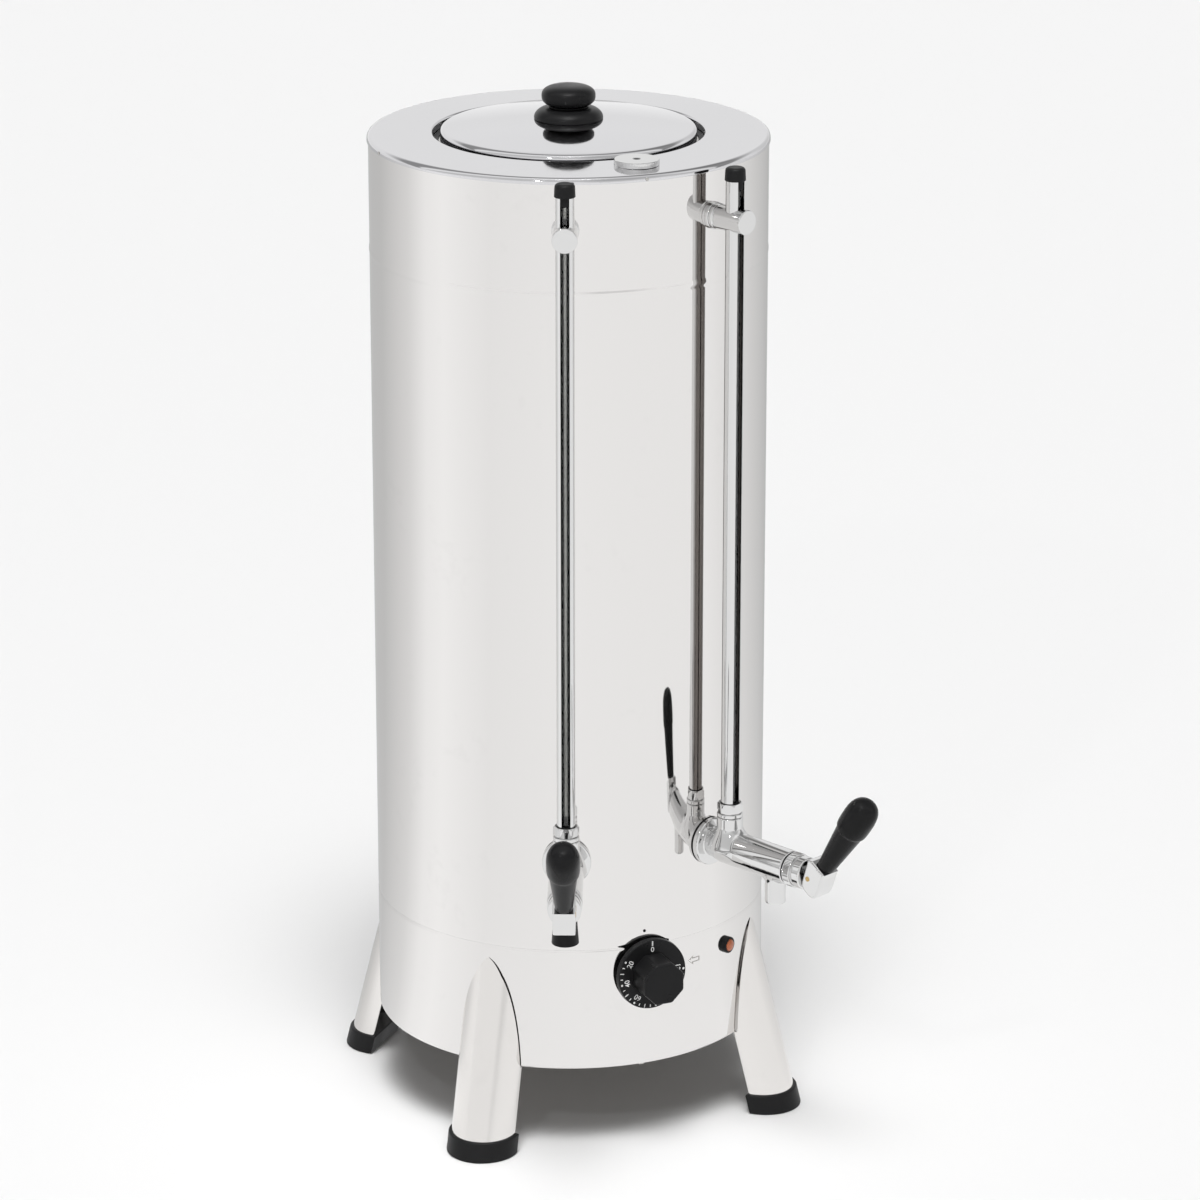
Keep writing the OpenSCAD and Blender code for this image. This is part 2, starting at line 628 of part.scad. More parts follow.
module gland_nuts() color("silver") pair() translate([gauge_x, 0, 0]) difference() {
  union() {
    translate([0, 0, nut_top - gland_h + gland_collar]) cylinder(d = gland_af / cos(30),
      h = gland_h - gland_collar, $fn = 6);
    translate([0, 0, nut_top - gland_h]) cylinder(r = gland_af * 0.58, h = gland_collar + 0.1);
  }
  translate([0, 0, tap_z + 20]) cylinder(r = gland_r + fit, h = 30);
  translate([0, 0, neck_top + 0.2]) cylinder(r = guard_r + fit, h = 30);
}
module gauge_seals() color("dimgray") pair() translate([gauge_x, 0, neck_top + 0.2]) difference() {
  cylinder(r = guard_r - guard_wall - fit, h = 3.6);
  translate([0, 0, -1]) cylinder(r = glass_r + 0.1, h = 10);
}

module lid() color("silver") {
  low = ledge_z + run;
  mid = [0, crown_z - crown_r];
  edge = acos(lid_flat / crown_r);
  hook = edge + atan2(4 - sheet, crown_r);
  difference() {
    turned(concat([[lid_r - sheet, low], [lid_r, low]], arc([lid_flat, lid_z - 4], 4, 0, edge, 8),
      arc(mid, crown_r, edge, 90, 20), arc(mid, crown_r - sheet, 90, hook, 20),
      arc([lid_flat, lid_z - 4], 4 - sheet, edge, 0, 6)));
    translate([0, 0, crown_z - 10]) cylinder(r = 3 + fit, h = 20);
  }
}

// flared foot, beaded waist and rounded grip, turned as one piece
module lid_knob() color("black") translate([0, 0, crown_z]) rotate_extrude($fn = 120) difference() {
  k = knob_h / 27.5;
  waist = knob_r * 0.56;
  grip = knob_r * 0.78;
  foot = knob_r - 0.6;
  polygon(concat([[0, fit], [foot, fit - 0.4 * foot * foot / crown_r]],
    [for (t = [0:9:90]) [waist + (knob_r - waist) * cos(t), (0.3 + 8.7 * sin(t)) * k]],
    [[waist - 0.9, 9.2 * k], [waist + 0.3, 9.7 * k], [waist - 0.9, 10.2 * k]],
    tier(grip, 9.2 * k, 18.3 * k, 0.74, -62, 90, 18)));
  translate([-1, -1]) square([4.1, 15]);
}

module knob_screw() color("silver") translate([0, 0, crown_z]) {
  cylinder(r = 3, h = 13);
  translate([0, 0, -sheet - 1]) cylinder(r = 3, h = 2);
  translate([0, 0, -sheet - 1.9]) cylinder(r = 9, h = 1.8);
  translate([0, 0, -sheet - 5.5]) cylinder(d = 10 / cos(30), h = 4, $fn = 6);
}

body_shell();
base_skirt();
top_deck();
rim_rivets();
coffee_vessel();
jacket_floor();
base_cover();
cover_screws();
leg_front_left();
leg_front_right();
leg_rear_left();
leg_rear_right();
rubber_feet();
filler_neck();
filler_cap();
coffee_pipe();
heating_element();
element_nuts();
thermostat_body();
dial_spindle();
thermostat_dial();
pilot_bezel();
pilot_lens();
cord_grommet();
coffee_tap_body();
water_tap_body();
coffee_nozzle();
tap_flanges();
tap_gaskets();
tap_locknuts();
coffee_bonnet();
water_bonnet();
bonnet_orings();
coffee_spring();
water_spring();
coffee_stem();
water_stem();
coffee_valve_disc();
water_valve_disc();
coffee_lever_head();
water_lever_head();
coffee_lever_pin();
water_lever_pin();
coffee_lever_grip();
water_lever_grip();
coffee_guard_tube();
water_guard_tube();
coffee_sight_glass();
water_sight_glass();
gauge_caps();
coffee_gauge_bracket();
water_gauge_bracket();
bracket_nuts();
gland_nuts();
gauge_seals();
lid();
lid_knob();
knob_screw();
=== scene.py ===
"""Looks of a coffee urn: polished sheet, cast taps, sight gauges, dial, lid and their finishes."""

from math import cos, pi, radians, sin, sqrt, tan

import bmesh
import bpy
import numpy as np
from bpy.props import FloatProperty, FloatVectorProperty, PointerProperty
from mathutils import Euler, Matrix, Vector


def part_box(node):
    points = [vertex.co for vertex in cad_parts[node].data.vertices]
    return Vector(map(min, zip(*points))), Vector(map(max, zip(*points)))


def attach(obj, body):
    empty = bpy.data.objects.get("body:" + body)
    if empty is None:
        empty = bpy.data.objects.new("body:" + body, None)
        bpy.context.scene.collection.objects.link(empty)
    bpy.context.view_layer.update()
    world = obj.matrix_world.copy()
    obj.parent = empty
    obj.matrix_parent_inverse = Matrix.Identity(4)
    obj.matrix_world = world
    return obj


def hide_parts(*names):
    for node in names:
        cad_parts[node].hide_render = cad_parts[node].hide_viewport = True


bl_info = {
    "name": "Coffee urn looks",
    "version": (1, 0, 0),
    "blender": (4, 5, 0),
    "location": "View3D > Sidebar > Urn",
    "description": "Dresses the packed coffee urn with finished surfaces and materials",
    "category": "Add Mesh",
}

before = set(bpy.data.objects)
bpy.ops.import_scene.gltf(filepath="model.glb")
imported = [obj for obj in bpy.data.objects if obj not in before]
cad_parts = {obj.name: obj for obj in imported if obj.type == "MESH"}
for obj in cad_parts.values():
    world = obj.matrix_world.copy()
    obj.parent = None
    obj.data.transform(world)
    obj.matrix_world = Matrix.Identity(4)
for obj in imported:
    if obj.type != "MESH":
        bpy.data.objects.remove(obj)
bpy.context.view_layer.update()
SIDES = {"coffee": -1, "water": 1}
BODY_FACETS = 288
SEAM_GAP, SEAM_DIP, SEAM_WIDE = 0.03, 0.4, 3
FILLER_INSET = 15.2
LEVER_TURN, STEM_LIFT = 56, 5
SHARP = 38.0


def box(node):
    """Lowest and highest corner of a CAD node, in mm."""
    return np.array(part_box(node)) * 1000


# Sizes and colours


def length(name, text, value):
    """A size property: value in mm, kept in metres."""
    metres = float(value) / 1000
    return FloatProperty(name=name, description=text, default=metres, min=0.0001, unit="LENGTH")


def turn(name, text, value):
    """An angle property: value in degrees, kept in radians."""
    return FloatProperty(name=name, description=text, default=radians(value), unit="ROTATION")


def tint(name, text, value):
    """A colour property in linear light."""
    return FloatVectorProperty(
        name=name, description=text, default=value, size=3, min=0, max=1, subtype="COLOR"
    )


class UrnSizes(bpy.types.PropertyGroup):
    """Sizes of the urn's visible pieces."""

    body_radius: length("Body radius", "Outer radius of shell and skirt", box("base_skirt")[1][0])
    rim_height: length("Rim height", "Top of the deck above the floor", box("top_deck")[1][2])
    seam_height: length("Seam height", "Seam between skirt and shell", box("base_skirt")[1][2])
    skirt_height: length("Skirt bottom", "Bottom edge of the base skirt", box("base_skirt")[0][2])
    bead_height: length("Bead height", "Height of the rolled bead", 742.5)
    bead_rise: length("Bead rise", "How far the bead stands out", 0.4)
    opening_radius: length("Opening radius", "Opening of the top deck", 112)
    vessel_radius: length("Vessel radius", "Inner radius of the coffee vessel", 103)
    lid_radius: length("Lid radius", "Outer radius of the lid", box("lid")[1][0])
    lid_crown: length("Lid crown", "Height of the dome over its edge", 7.5)
    knob_radius: length("Lid knob radius", "Foot of the lid knob", box("lid_knob")[1][0])
    filler_radius: length("Filler radius", "Radius of its disc", np.ptp(box("filler_cap"), 0)[0] / 2)
    vent_radius: length("Vent radius", "Vent hole in the filler disc", 3.2)
    tap_height: length("Tap height", "Height of the tap axis", 260)
    barrel_radius: length("Barrel radius", "Radius of the tap barrel", 14.5)
    spout_radius: length("Spout radius", "Outer radius of the spout", 8.7)
    spout_reach: length("Spout reach", "Spout axis to urn axis", 240)
    gauge_reach: length("Gauge reach", "Gauge axis to urn axis", 188)
    flange_radius: length("Flange radius", "Radius of the wall flange", 20.3)
    guard_radius: length("Guard radius", "Outer radius of the gauge guard tube", 7.7)
    slot_width: length("Slot width", "Width of the sight slot", 7.3)
    glass_radius: length("Glass radius", "Outer radius of the sight glass", 5)
    bracket_radius: length("Bracket radius", "Radius of the upper gauge bracket", 10.3)
    bracket_height: length("Bracket height", "Axis of the upper gauge bracket", 796.5)
    pin_reach: length("Pin reach", "Lever pin to urn axis", 284)
    head_width: length("Lever head width", "Width of the lever head", 18.6)
    grip_length: length("Grip length", "Length of the lever grip", 81)
    grip_radius: length("Grip radius", "Largest radius of the lever grip", 13.8)
    dial_height: length("Dial height", "Height of the dial axis", 156)
    dial_radius: length("Dial radius", "Radius of the dial disc", 31)
    dial_grip: length("Dial grip", "Eight-sided grip over its corners", 39)
    dial_reach: length("Dial reach", "Face of the dial grip to urn axis", 197.5)
    pilot_height: length("Pilot height", "Height of the pilot lamp", 159)
    leg_radius: length("Leg radius", "Outer radius of the leg channel", 28)
    leg_wall: length("Leg wall", "Sheet thickness of the legs", 1.5)
    leg_arch: length("Leg arch", "Height where a leg leaves the body", 169)
    foot_height: length("Foot height", "Height of the rubber feet", 17)
    tap_turn: turn("Tap azimuth", "Angle of each tap from the front", 23)
    filler_turn: turn("Filler azimuth", "Angle of the filler from the front", 2.4)
    dial_turn: turn("Dial azimuth", "Angle of the dial from the front", 1.4)
    pilot_turn: turn("Pilot azimuth", "Angle of the pilot lamp from the front", 31)
    leg_turn: turn("Leg azimuth", "Angle of the front legs from the front", 46.3)
    leg_tilt: turn("Leg tilt", "Outward tilt of the legs", 14.5)
    lever_rest: turn("Lever rest", "Grip above the horizontal, tap shut", 56)


class UrnColours(bpy.types.PropertyGroup):
    """Base colours of the urn's finishes."""

    steel: tint("Polished steel", "Shell and skirt", (0.765, 0.752, 0.742))
    deck_steel: tint("Deck steel", "Deck and lid", (0.688, 0.685, 0.70))
    leg_steel: tint("Leg steel", "Satin steel of the legs", (0.755, 0.736, 0.718))
    chrome: tint("Chrome", "Taps, gauges and brackets", (0.7, 0.699, 0.697))
    inner_steel: tint("Inner steel", "Coffee vessel and jacket", (0.62, 0.61, 0.59))
    plastic: tint("Black plastic", "Grips, knob and dial", (0.01, 0.01, 0.0105))
    rubber: tint("Black rubber", "Feet, caps and rings", (0.011, 0.011, 0.0115))
    brass: tint("Brass", "Lever pins and nuts", (0.5, 0.37, 0.17))
    amber: tint("Amber lens", "Lens of the pilot lamp", (0.55, 0.13, 0.035))
    print_white: tint("Dial print", "Numbers and marks of the dial", (0.86, 0.86, 0.84))
    pale: tint("Pale plastic", "Thermostat housing", (0.72, 0.69, 0.60))


def mm(context, *names):
    """The named sizes in mm; angles come in radians."""
    s = context.scene.urn_sizes
    return [getattr(s, n) * (1 if n.endswith(("turn", "tilt", "rest")) else 1000) for n in names]


# Profiles and surfaces, all in mm


def unit(v):
    """Each row divided by its own length."""
    return v / np.maximum(np.linalg.norm(v, axis=-1, keepdims=True), 1e-12)


def rounded(corners, steps=7, closed=False):
    """A line through corners (x, y, radius) whose corners are arcs.

    With a half angle h at a corner, the arc starts radius / tan(h) before it and its centre lies
    radius / sin(h) away on the bisector. A point beside each arc keeps the flats flat when shaded.
    """
    c = np.array(corners, float)
    p, r = c[:, :2], c[:, 2:].copy()
    if not closed:
        r[[0, -1]] = 0
    back, on = unit(np.roll(p, 1, 0) - p), unit(np.roll(p, -1, 0) - p)
    cosine = np.clip((back * on).sum(1), -1, 1)
    half = np.clip(np.arccos(cosine) / 2, 1e-3, pi / 2 - 1e-4)[:, None]
    reach = r / np.tan(half)
    mid = p + unit(back + on) * r / np.sin(half)
    first, last = p + back * reach - mid, p + on * reach - mid
    s, bend = np.linspace(0, 1, steps)[None, :, None], (pi - 2 * half)[:, None]
    swing = np.sin((1 - s) * bend) * first[:, None] + np.sin(s * bend) * last[:, None]
    arcs = mid[:, None] + swing / np.sin(bend)
    side = reach + 0.2 * r
    arcs = np.concatenate([(p + back * side)[:, None], arcs, (p + on * side)[:, None]], 1)
    return np.concatenate([a if q > 0 else b[None] for a, b, q in zip(arcs, p, r[:, 0])])


def quads(rows, cols, wrap_rows=False, wrap_cols=True):
    """Four-sided faces of a grid of rows x cols points, wrapped round where asked."""
    i = np.arange(rows if wrap_rows else rows - 1)[:, None]
    j = np.arange(cols if wrap_cols else cols - 1)[None, :]
    i2, j2 = (i + 1) % rows, (j + 1) % cols
    return np.stack([i * cols + j, i * cols + j2, i2 * cols + j2, i2 * cols + j], -1).reshape(-1, 4)


def lathe(profile, n=96, closed=False, shape=None):
    """A profile of (radius, height) turned round Z: x = r cos a, y = r sin a, z = height.

    shape(a, r, z) may change the radius with the angle, as a knurl or a hexagon does.
    """
    p = np.array(profile, float)
    a = np.linspace(0, 2 * pi, n, endpoint=False)[None, :]
    r, z = p[:, :1] + 0 * a, p[:, 1:] + 0 * a
    if shape:
        r = shape(a + 0 * r, r, z)
    return np.stack([r * np.cos(a), r * np.sin(a), z], -1).reshape(-1, 3), quads(len(p), n, closed)


def turned(section, n, steps=7):
    """A rounded line that starts and ends on the axis, turned round Z."""
    return lathe(rounded(section, steps), n)


def ring(section, n, steps=7, shape=None):
    """A rounded closed section turned round Z."""
    return lathe(rounded(section, steps, True), n, True, shape)


def drill(radius, low, high):
    """A plain round bar along Z, to cut a hole with."""
    return turned([(0, low, 0), (radius, low, 0), (radius, high, 0), (0, high, 0)], 64)


def outwards(shell, height=0.0):
    """Lays a turned piece down: its axis Z becomes the outward axis X, at that height."""
    v, f = shell
    return np.stack([v[:, 2], v[:, 0], v[:, 1] + height], -1), f


def shifted(shell, x=0.0, y=0.0, z=0.0):
    """The shell moved by x, y, z."""
    return shell[0] + np.array([x, y, z]), shell[1]


def radial(shell, turn_):
    """Turns a local shell (X outwards, Y sideways, Z up) to an azimuth from the front towards +X."""
    v, f = shell
    s, c = sin(turn_), cos(turn_)
    return np.stack([v[:, 0] * s + v[:, 1] * c, v[:, 1] * s - v[:, 0] * c, v[:, 2]], -1), f


def pair(shell, turn_):
    """The shell at the azimuths of both taps."""
    return [radial(shell, way * turn_) for way in SIDES.values()]


def tipped(shell, angle):
    """Turns a local shell about Y, so that its Z leans outwards by the angle."""
    v, f = shell
    s, c = sin(angle), cos(angle)
    return np.stack([v[:, 0] * c + v[:, 2] * s, v[:, 1], v[:, 2] * c - v[:, 0] * s], -1), f


def saddled(shell, radius, limit):
    """Seats an outward piece on a cylinder: points with x below limit go to sqrt(radius^2 - y^2)."""
    v, f = shell
    seat = np.sqrt(np.maximum(radius**2 - v[:, 1] ** 2, 0))
    return np.stack([np.where(v[:, 0] < limit, seat, v[:, 0]), v[:, 1], v[:, 2]], -1), f


def hexagon(across):
    """Radius of a six-sided bar: half the width across flats over cos of the angle to the nearest flat."""
    step = 2 * pi / 6

    def shape(a, r, z):
        near = (a + step / 2) % step - step / 2
        return np.minimum(r, across / 2 / np.cos(near))

    return shape


def knurled(depth, teeth, low, high):
    """Radius cut by a three-cornered wave of that many teeth between two heights."""

    def shape(a, r, z):
        wave = np.abs((a * teeth / (2 * pi)) % 1 - 0.5) * 2
        return r - depth * wave * ((z >= low) & (z <= high))

    return shape


# Castings: surfaces of a blended distance field


def blend(a, b, k):
    """Union of two fields whose inner corner is filled over a width k."""
    h = np.maximum(k - np.abs(a - b), 0) / k
    return np.minimum(a, b) - h * h * k / 4


def trim(a, b, k):
    """Part that lies in both fields, with its outer edge eased over a width k."""
    return -blend(-a, -b, k)


def casting(field, low, high, step):
    """Skin of the region where field(points) < 0, inside a box, with its normals.

    Each grid cell whose corners differ in sign gets one point, moved onto the field by Newton steps
    p - d grad / |grad|^2; each grid edge that changes sign joins its four cells in a face.
    """
    axes = [np.arange(a, b + step, step) for a, b in zip(low, high)]
    grid = np.stack(np.meshgrid(*axes, indexing="ij"), -1)
    inside = field(grid) < 0
    count = sum(
        inside[i : i - 1 or None, j : j - 1 or None, k : k - 1 or None].astype(np.int8)
        for i in (0, 1)
        for j in (0, 1)
        for k in (0, 1)
    )
    crossed = (count > 0) & (count < 8)
    number = np.full(crossed.shape, -1)
    number[crossed] = np.arange(crossed.sum())
    p = grid[:-1, :-1, :-1][crossed] + step / 2

    def slope(q, reach=0.02):
        e = reach * np.eye(3)
        return np.stack([field(q + e[i]) - field(q - e[i]) for i in range(3)], -1) / (2 * reach)

    for _ in range(6):
        g = slope(p)
        move = (field(p) / np.maximum((g * g).sum(-1), 0.2))[:, None] * g
        p = p - np.clip(move, -step, step)
    faces, cell = [], np.eye(3, dtype=int)
    for axis in range(3):
        size = inside.shape[axis]
        one = np.take(inside, np.arange(size - 1), axis)
        two = np.take(inside, np.arange(1, size), axis)
        at = np.argwhere(one != two)
        u, v = (axis + 1) % 3, (axis + 2) % 3
        keep = (at[:, u] > 0) & (at[:, v] > 0)
        keep &= (at[:, u] < crossed.shape[u]) & (at[:, v] < crossed.shape[v])
        at = at[keep]
        around = np.stack([at, at - cell[u], at - cell[u] - cell[v], at - cell[v]], 1)
        f = number[around[..., 0], around[..., 1], around[..., 2]]
        out = one[tuple(at.T)]
        faces.append(np.where(out[:, None], f, f[:, ::-1]))
    return p, np.concatenate(faces), unit(slope(p))


# Putting meshes into the scene


def merged(mesh, slivers=False):
    """Joins doubled points, takes slivers out where asked and turns the faces outwards."""
    bm = bmesh.new()
    bm.from_mesh(mesh)
    bmesh.ops.remove_doubles(bm, verts=bm.verts, dist=2e-6)
    if slivers:
        bmesh.ops.dissolve_degenerate(bm, edges=bm.edges, dist=1e-6)
    bmesh.ops.recalc_face_normals(bm, faces=bm.faces)
    bm.to_mesh(mesh)
    bm.free()


def put(name, shells, look, nodes=(), body="urn", sharp=SHARP, normals=None):
    """Makes one piece of closed shells (points, faces) in mm, with its finish, and lets it ride on a body."""
    points, faces, start = [], [], 0
    for v, f in shells:
        points.append(v)
        faces += (f + start).tolist()
        start += len(v)
    mesh = bpy.data.meshes.new(name)
    mesh.from_pydata((np.concatenate(points) / 1000).tolist(), [], faces)
    if normals is None:
        merged(mesh, True)
    mesh.shade_smooth()
    if normals is None:
        mesh.set_sharp_from_angle(angle=radians(sharp))
    else:
        mesh.normals_split_custom_set_from_vertices(normals.tolist())
    if not len(mesh.polygons):
        raise RuntimeError(f"{name} has no faces")
    piece = bpy.data.objects.new(name, mesh)
    bpy.context.scene.collection.objects.link(piece)
    mesh.materials.append(finish(look))
    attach(piece, body)
    if nodes:
        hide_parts(*nodes)
    return piece


def evaluated(thing):
    """A mesh of the object as it stands, modifiers and lettering worked out."""
    bpy.context.view_layer.update()
    return bpy.data.meshes.new_from_object(thing.evaluated_get(bpy.context.evaluated_depsgraph_get()))


def pierce(piece, shell):
    """Cuts a closed shell out of a piece."""
    mesh = bpy.data.meshes.new("cutter")
    mesh.from_pydata((shell[0] / 1000).tolist(), [], shell[1].tolist())
    merged(mesh)
    cutter = bpy.data.objects.new("cutter", mesh)
    bpy.context.scene.collection.objects.link(cutter)
    cut = piece.modifiers.new("hole", "BOOLEAN")
    cut.operation, cut.solver, cut.object = "DIFFERENCE", "EXACT", cutter
    made = evaluated(piece)
    piece.modifiers.clear()
    piece.data = made
    bpy.data.objects.remove(cutter)
    made.shade_smooth()
    made.set_sharp_from_angle(angle=radians(SHARP))


# Effects shared by the finishes


def add(tree, kind, ins=None, **settings):
    """Adds a node; ins sets its inputs by name, with a value or another node's output."""
    node = tree.nodes.new(kind)
    for key, value in settings.items():
        setattr(node, key, value)
    for key, value in (ins or {}).items():
        if isinstance(value, bpy.types.NodeSocket):
            tree.links.new(value, node.inputs[key])
        else:
            node.inputs[key].default_value = value
    return node


def calc(tree, operation, *values):
    """A math node on up to three values."""
    return add(tree, "ShaderNodeMath", dict(enumerate(values)), operation=operation).outputs[0]


def vector(tree, operation, *values):
    """A vector math node; dot products and lengths come out as one value."""
    node = add(tree, "ShaderNodeVectorMath", dict(enumerate(values)), operation=operation)
    return node.outputs["Value" if operation in ("DOT_PRODUCT", "LENGTH") else 0]


def noise(tree, at, scale, detail, rough=0.5, bent=0.0):
    """Noise of that scale and detail at the given coordinates."""
    ins = {"Vector": at, "Scale": scale, "Detail": detail, "Roughness": rough, "Distortion": bent}
    return add(tree, "ShaderNodeTexNoise", ins).outputs[0]


def spread(tree, value, low, high, socket=None, least=0.0, most=1.0, **settings):
    """Maps a value from least..most to low..high, into a socket if one is given."""
    ins = {"Value": value, "From Min": least, "From Max": most, "To Min": low, "To Max": high}
    out = add(tree, "ShaderNodeMapRange", ins, **settings).outputs[0]
    if socket:
        tree.links.new(out, socket)
    return out


# the input for coordinates that every effect has
AT = ("Vector", "Vector", (0, 0, 0))


def effect(name, ins, outs):
    """Starts a node group with named sockets; returns the tree, its inputs and its output sockets."""
    tree = bpy.data.node_groups.new(name, "ShaderNodeTree")
    for socket, kind, value in ins:
        made = tree.interface.new_socket(socket, in_out="INPUT", socket_type="NodeSocket" + kind)
        made.default_value = value
    for socket in outs:
        tree.interface.new_socket(socket, in_out="OUTPUT", socket_type="NodeSocketFloat")
    return tree, add(tree, "NodeGroupInput").outputs, add(tree, "NodeGroupOutput").inputs


def polish_lines():
    """Fine polishing lines: noise that is squeezed across the lines and drawn out along them."""
    tree, i, out = effect("polish_lines", [AT, ("Stretch", "Vector", (8, 8, 900))], ["Lines"])
    place = vector(tree, "MULTIPLY", i["Vector"], i["Stretch"])
    spread(tree, noise(tree, place, 1.0, 4.0, 0.65), 0.0, 1.0, out["Lines"], 0.3, 0.7)
    return tree


def handling_marks():
    """Smears from wiping and hands: two sizes of noise multiplied, then cut at a threshold."""
    ins = [AT, ("Scale", "Float", 9.0), ("Cover", "Float", 0.5)]
    tree, i, out = effect("handling_marks", ins, ["Marks"])
    finer, most = calc(tree, "MULTIPLY", i["Scale"], 6.3), 0.45
    large = noise(tree, i["Vector"], i["Scale"], 3.0, 0.5, 0.6)
    small = noise(tree, i["Vector"], finer, 5.0, 0.6)
    both = calc(tree, "MULTIPLY", large, small)
    least = calc(tree, "SUBTRACT", most, i["Cover"])
    spread(tree, both, 0.0, 1.0, out["Marks"], least, most, interpolation_type="SMOOTHSTEP")
    return tree


def sheet_waves():
    """Slow waves that rolling leaves in sheet metal: large soft noise."""
    tree, i, out = effect("sheet_waves", [AT, ("Stretch", "Vector", (7, 7, 2))], ["Height"])
    place = vector(tree, "MULTIPLY", i["Vector"], i["Stretch"])
    tree.links.new(noise(tree, place, 1.0, 1.0, 0.4), out["Height"])
    return tree


def moulded_grain():
    """Moulded skin: fine pits for the height and broad mottling for the tone."""
    tree, i, out = effect("moulded_grain", [AT, ("Scale", "Float", 900.0)], ["Grain", "Mottle"])
    tree.links.new(noise(tree, i["Vector"], i["Scale"], 3.0, 0.55), out["Grain"])
    tree.links.new(noise(tree, i["Vector"], 42.0, 4.0, 0.6), out["Mottle"])
    return tree


EFFECTS = {f.__name__: f for f in (polish_lines, handling_marks, sheet_waves, moulded_grain)}


def use(tree, name, **ins):
    """Places a shared effect in a material; underscores in input names stand for spaces."""
    group = bpy.data.node_groups.get(name) or EFFECTS[name]()
    named = {k.replace("_", " "): v for k, v in ins.items()}
    return add(tree, "ShaderNodeGroup", named, node_tree=group).outputs


# Finishes


def blank(name, **sockets):
    """A new material: its node tree, its Principled shader and the piece's own coordinates."""
    mat = bpy.data.materials.new(name)
    mat.use_nodes = True
    tree = mat.node_tree
    shader = next(n for n in tree.nodes if n.type == "BSDF_PRINCIPLED")
    for key, value in sockets.items():
        shader.inputs[key.replace("_", " ")].default_value = value
    return mat, tree, shader, add(tree, "ShaderNodeTexCoord").outputs["Object"]


def toned(tree, shader, factor, one, two):
    """Base colour that goes from one to two with a mask."""
    mix = add(tree, "ShaderNodeMix", {0: factor, 6: (*one, 1), 7: (*two, 1)}, data_type="RGBA")
    tree.links.new(mix.outputs[2], shader.inputs["Base Color"])


def mottled(tree, shader, mask, colour, low, high):
    """Base colour that a mask takes from low to high times the given one."""
    toned(tree, shader, mask, [c * low for c in colour], [min(1, c * high) for c in colour])


def embossed(tree, shader, height, distance, under=None):
    """Bump of that depth in metres on the shader's normal."""
    ins = {"Height": height, "Distance": distance, "Strength": 1.0}
    if under:
        ins["Normal"] = under
    bump = add(tree, "ShaderNodeBump", ins).outputs[0]
    tree.links.new(bump, shader.inputs["Normal"])
    return bump


# dark steel painted on the guard tubes' back as painted shade, so that side and its reflection in the body
# read dark
PAINTED_SHADE_STEEL = (0.21, 0.195, 0.185)


def metal(name, colour, rough, stretch, smear=0.02, depth=4e-7, wave=0.0, cover=0.12, vary=0.28, painted_shade=None):
    """Metal with polishing lines and wiped smears, and where asked slow waves and a part painted dark as
    painted shade.
    """
    mat, tree, shader, at = blank(name, Metallic=1.0)
    lines = use(tree, "polish_lines", Vector=at, Stretch=stretch)["Lines"]
    marks = use(tree, "handling_marks", Vector=at, Scale=11.0, Cover=cover)["Marks"]
    # painted shade: where the mask is 1 the base colour is the dark steel
    if painted_shade:
        toned(tree, shader, painted_shade(tree, at), colour, PAINTED_SHADE_STEEL)
    else:
        toned(tree, shader, marks, colour, [c * 0.985 for c in colour])
    base = spread(tree, lines, rough * (1 - vary), rough * (1 + vary))
    tree.links.new(calc(tree, "MULTIPLY_ADD", marks, smear, base), shader.inputs["Roughness"])
    under = None
    if wave:
        under = embossed(tree, shader, use(tree, "sheet_waves", Vector=at)["Height"], wave)
    if depth:
        embossed(tree, shader, lines, depth, under)
    return mat


def tube_back_painted_shade(tree, at):
    """Mask of the guard tubes' back, which faces the body and is painted dark as painted shade: by distance
    from the urn's axis.
    """
    far = vector(tree, "LENGTH", vector(tree, "MULTIPLY", at, (1, 1, 0)))
    axis = bpy.context.scene.urn_sizes.gauge_reach
    return spread(tree, far, 1.0, 0.0, None, axis - 0.005, axis - 0.002)


def moulded(name, colour, rough, scale, depth, marks=0.1, **sockets):
    """Plastic or rubber with a moulded skin and faint smears."""
    mat, tree, shader, at = blank(name, **sockets)
    grain = use(tree, "moulded_grain", Vector=at, Scale=scale)
    smears = use(tree, "handling_marks", Vector=at, Scale=30.0, Cover=0.2)["Marks"]
    mottled(tree, shader, grain["Mottle"], colour, 0.8, 1.25)
    base = spread(tree, grain["Mottle"], rough * 0.85, rough * 1.15, None, 0.3, 0.7)
    tree.links.new(calc(tree, "MULTIPLY_ADD", smears, marks, base), shader.inputs["Roughness"])
    embossed(tree, shader, grain["Grain"], depth)
    return mat


def glass_finish(name):
    """Clear glass with a faint veil of wiping marks."""
    mat, tree, shader, at = blank(name, Transmission_Weight=1.0, IOR=1.47)
    marks = use(tree, "handling_marks", Vector=at, Scale=25.0, Cover=0.2)["Marks"]
    toned(tree, shader, marks, (0.97, 0.985, 0.98), (0.93, 0.95, 0.94))
    spread(tree, marks, 0.0, 0.06, shader.inputs["Roughness"])
    return mat


def amber_finish(name, colour):
    """Moulded amber lens with a fine grain and a light mottle."""
    mat, tree, shader, at = blank(name, IOR=1.49, Coat_Weight=0.5)
    grain = use(tree, "moulded_grain", Vector=at, Scale=700.0)
    mottled(tree, shader, grain["Mottle"], colour, 0.85, 1.15)
    spread(tree, grain["Grain"], 0.16, 0.28, shader.inputs["Roughness"])
    embossed(tree, shader, grain["Grain"], 2e-5)
    return mat


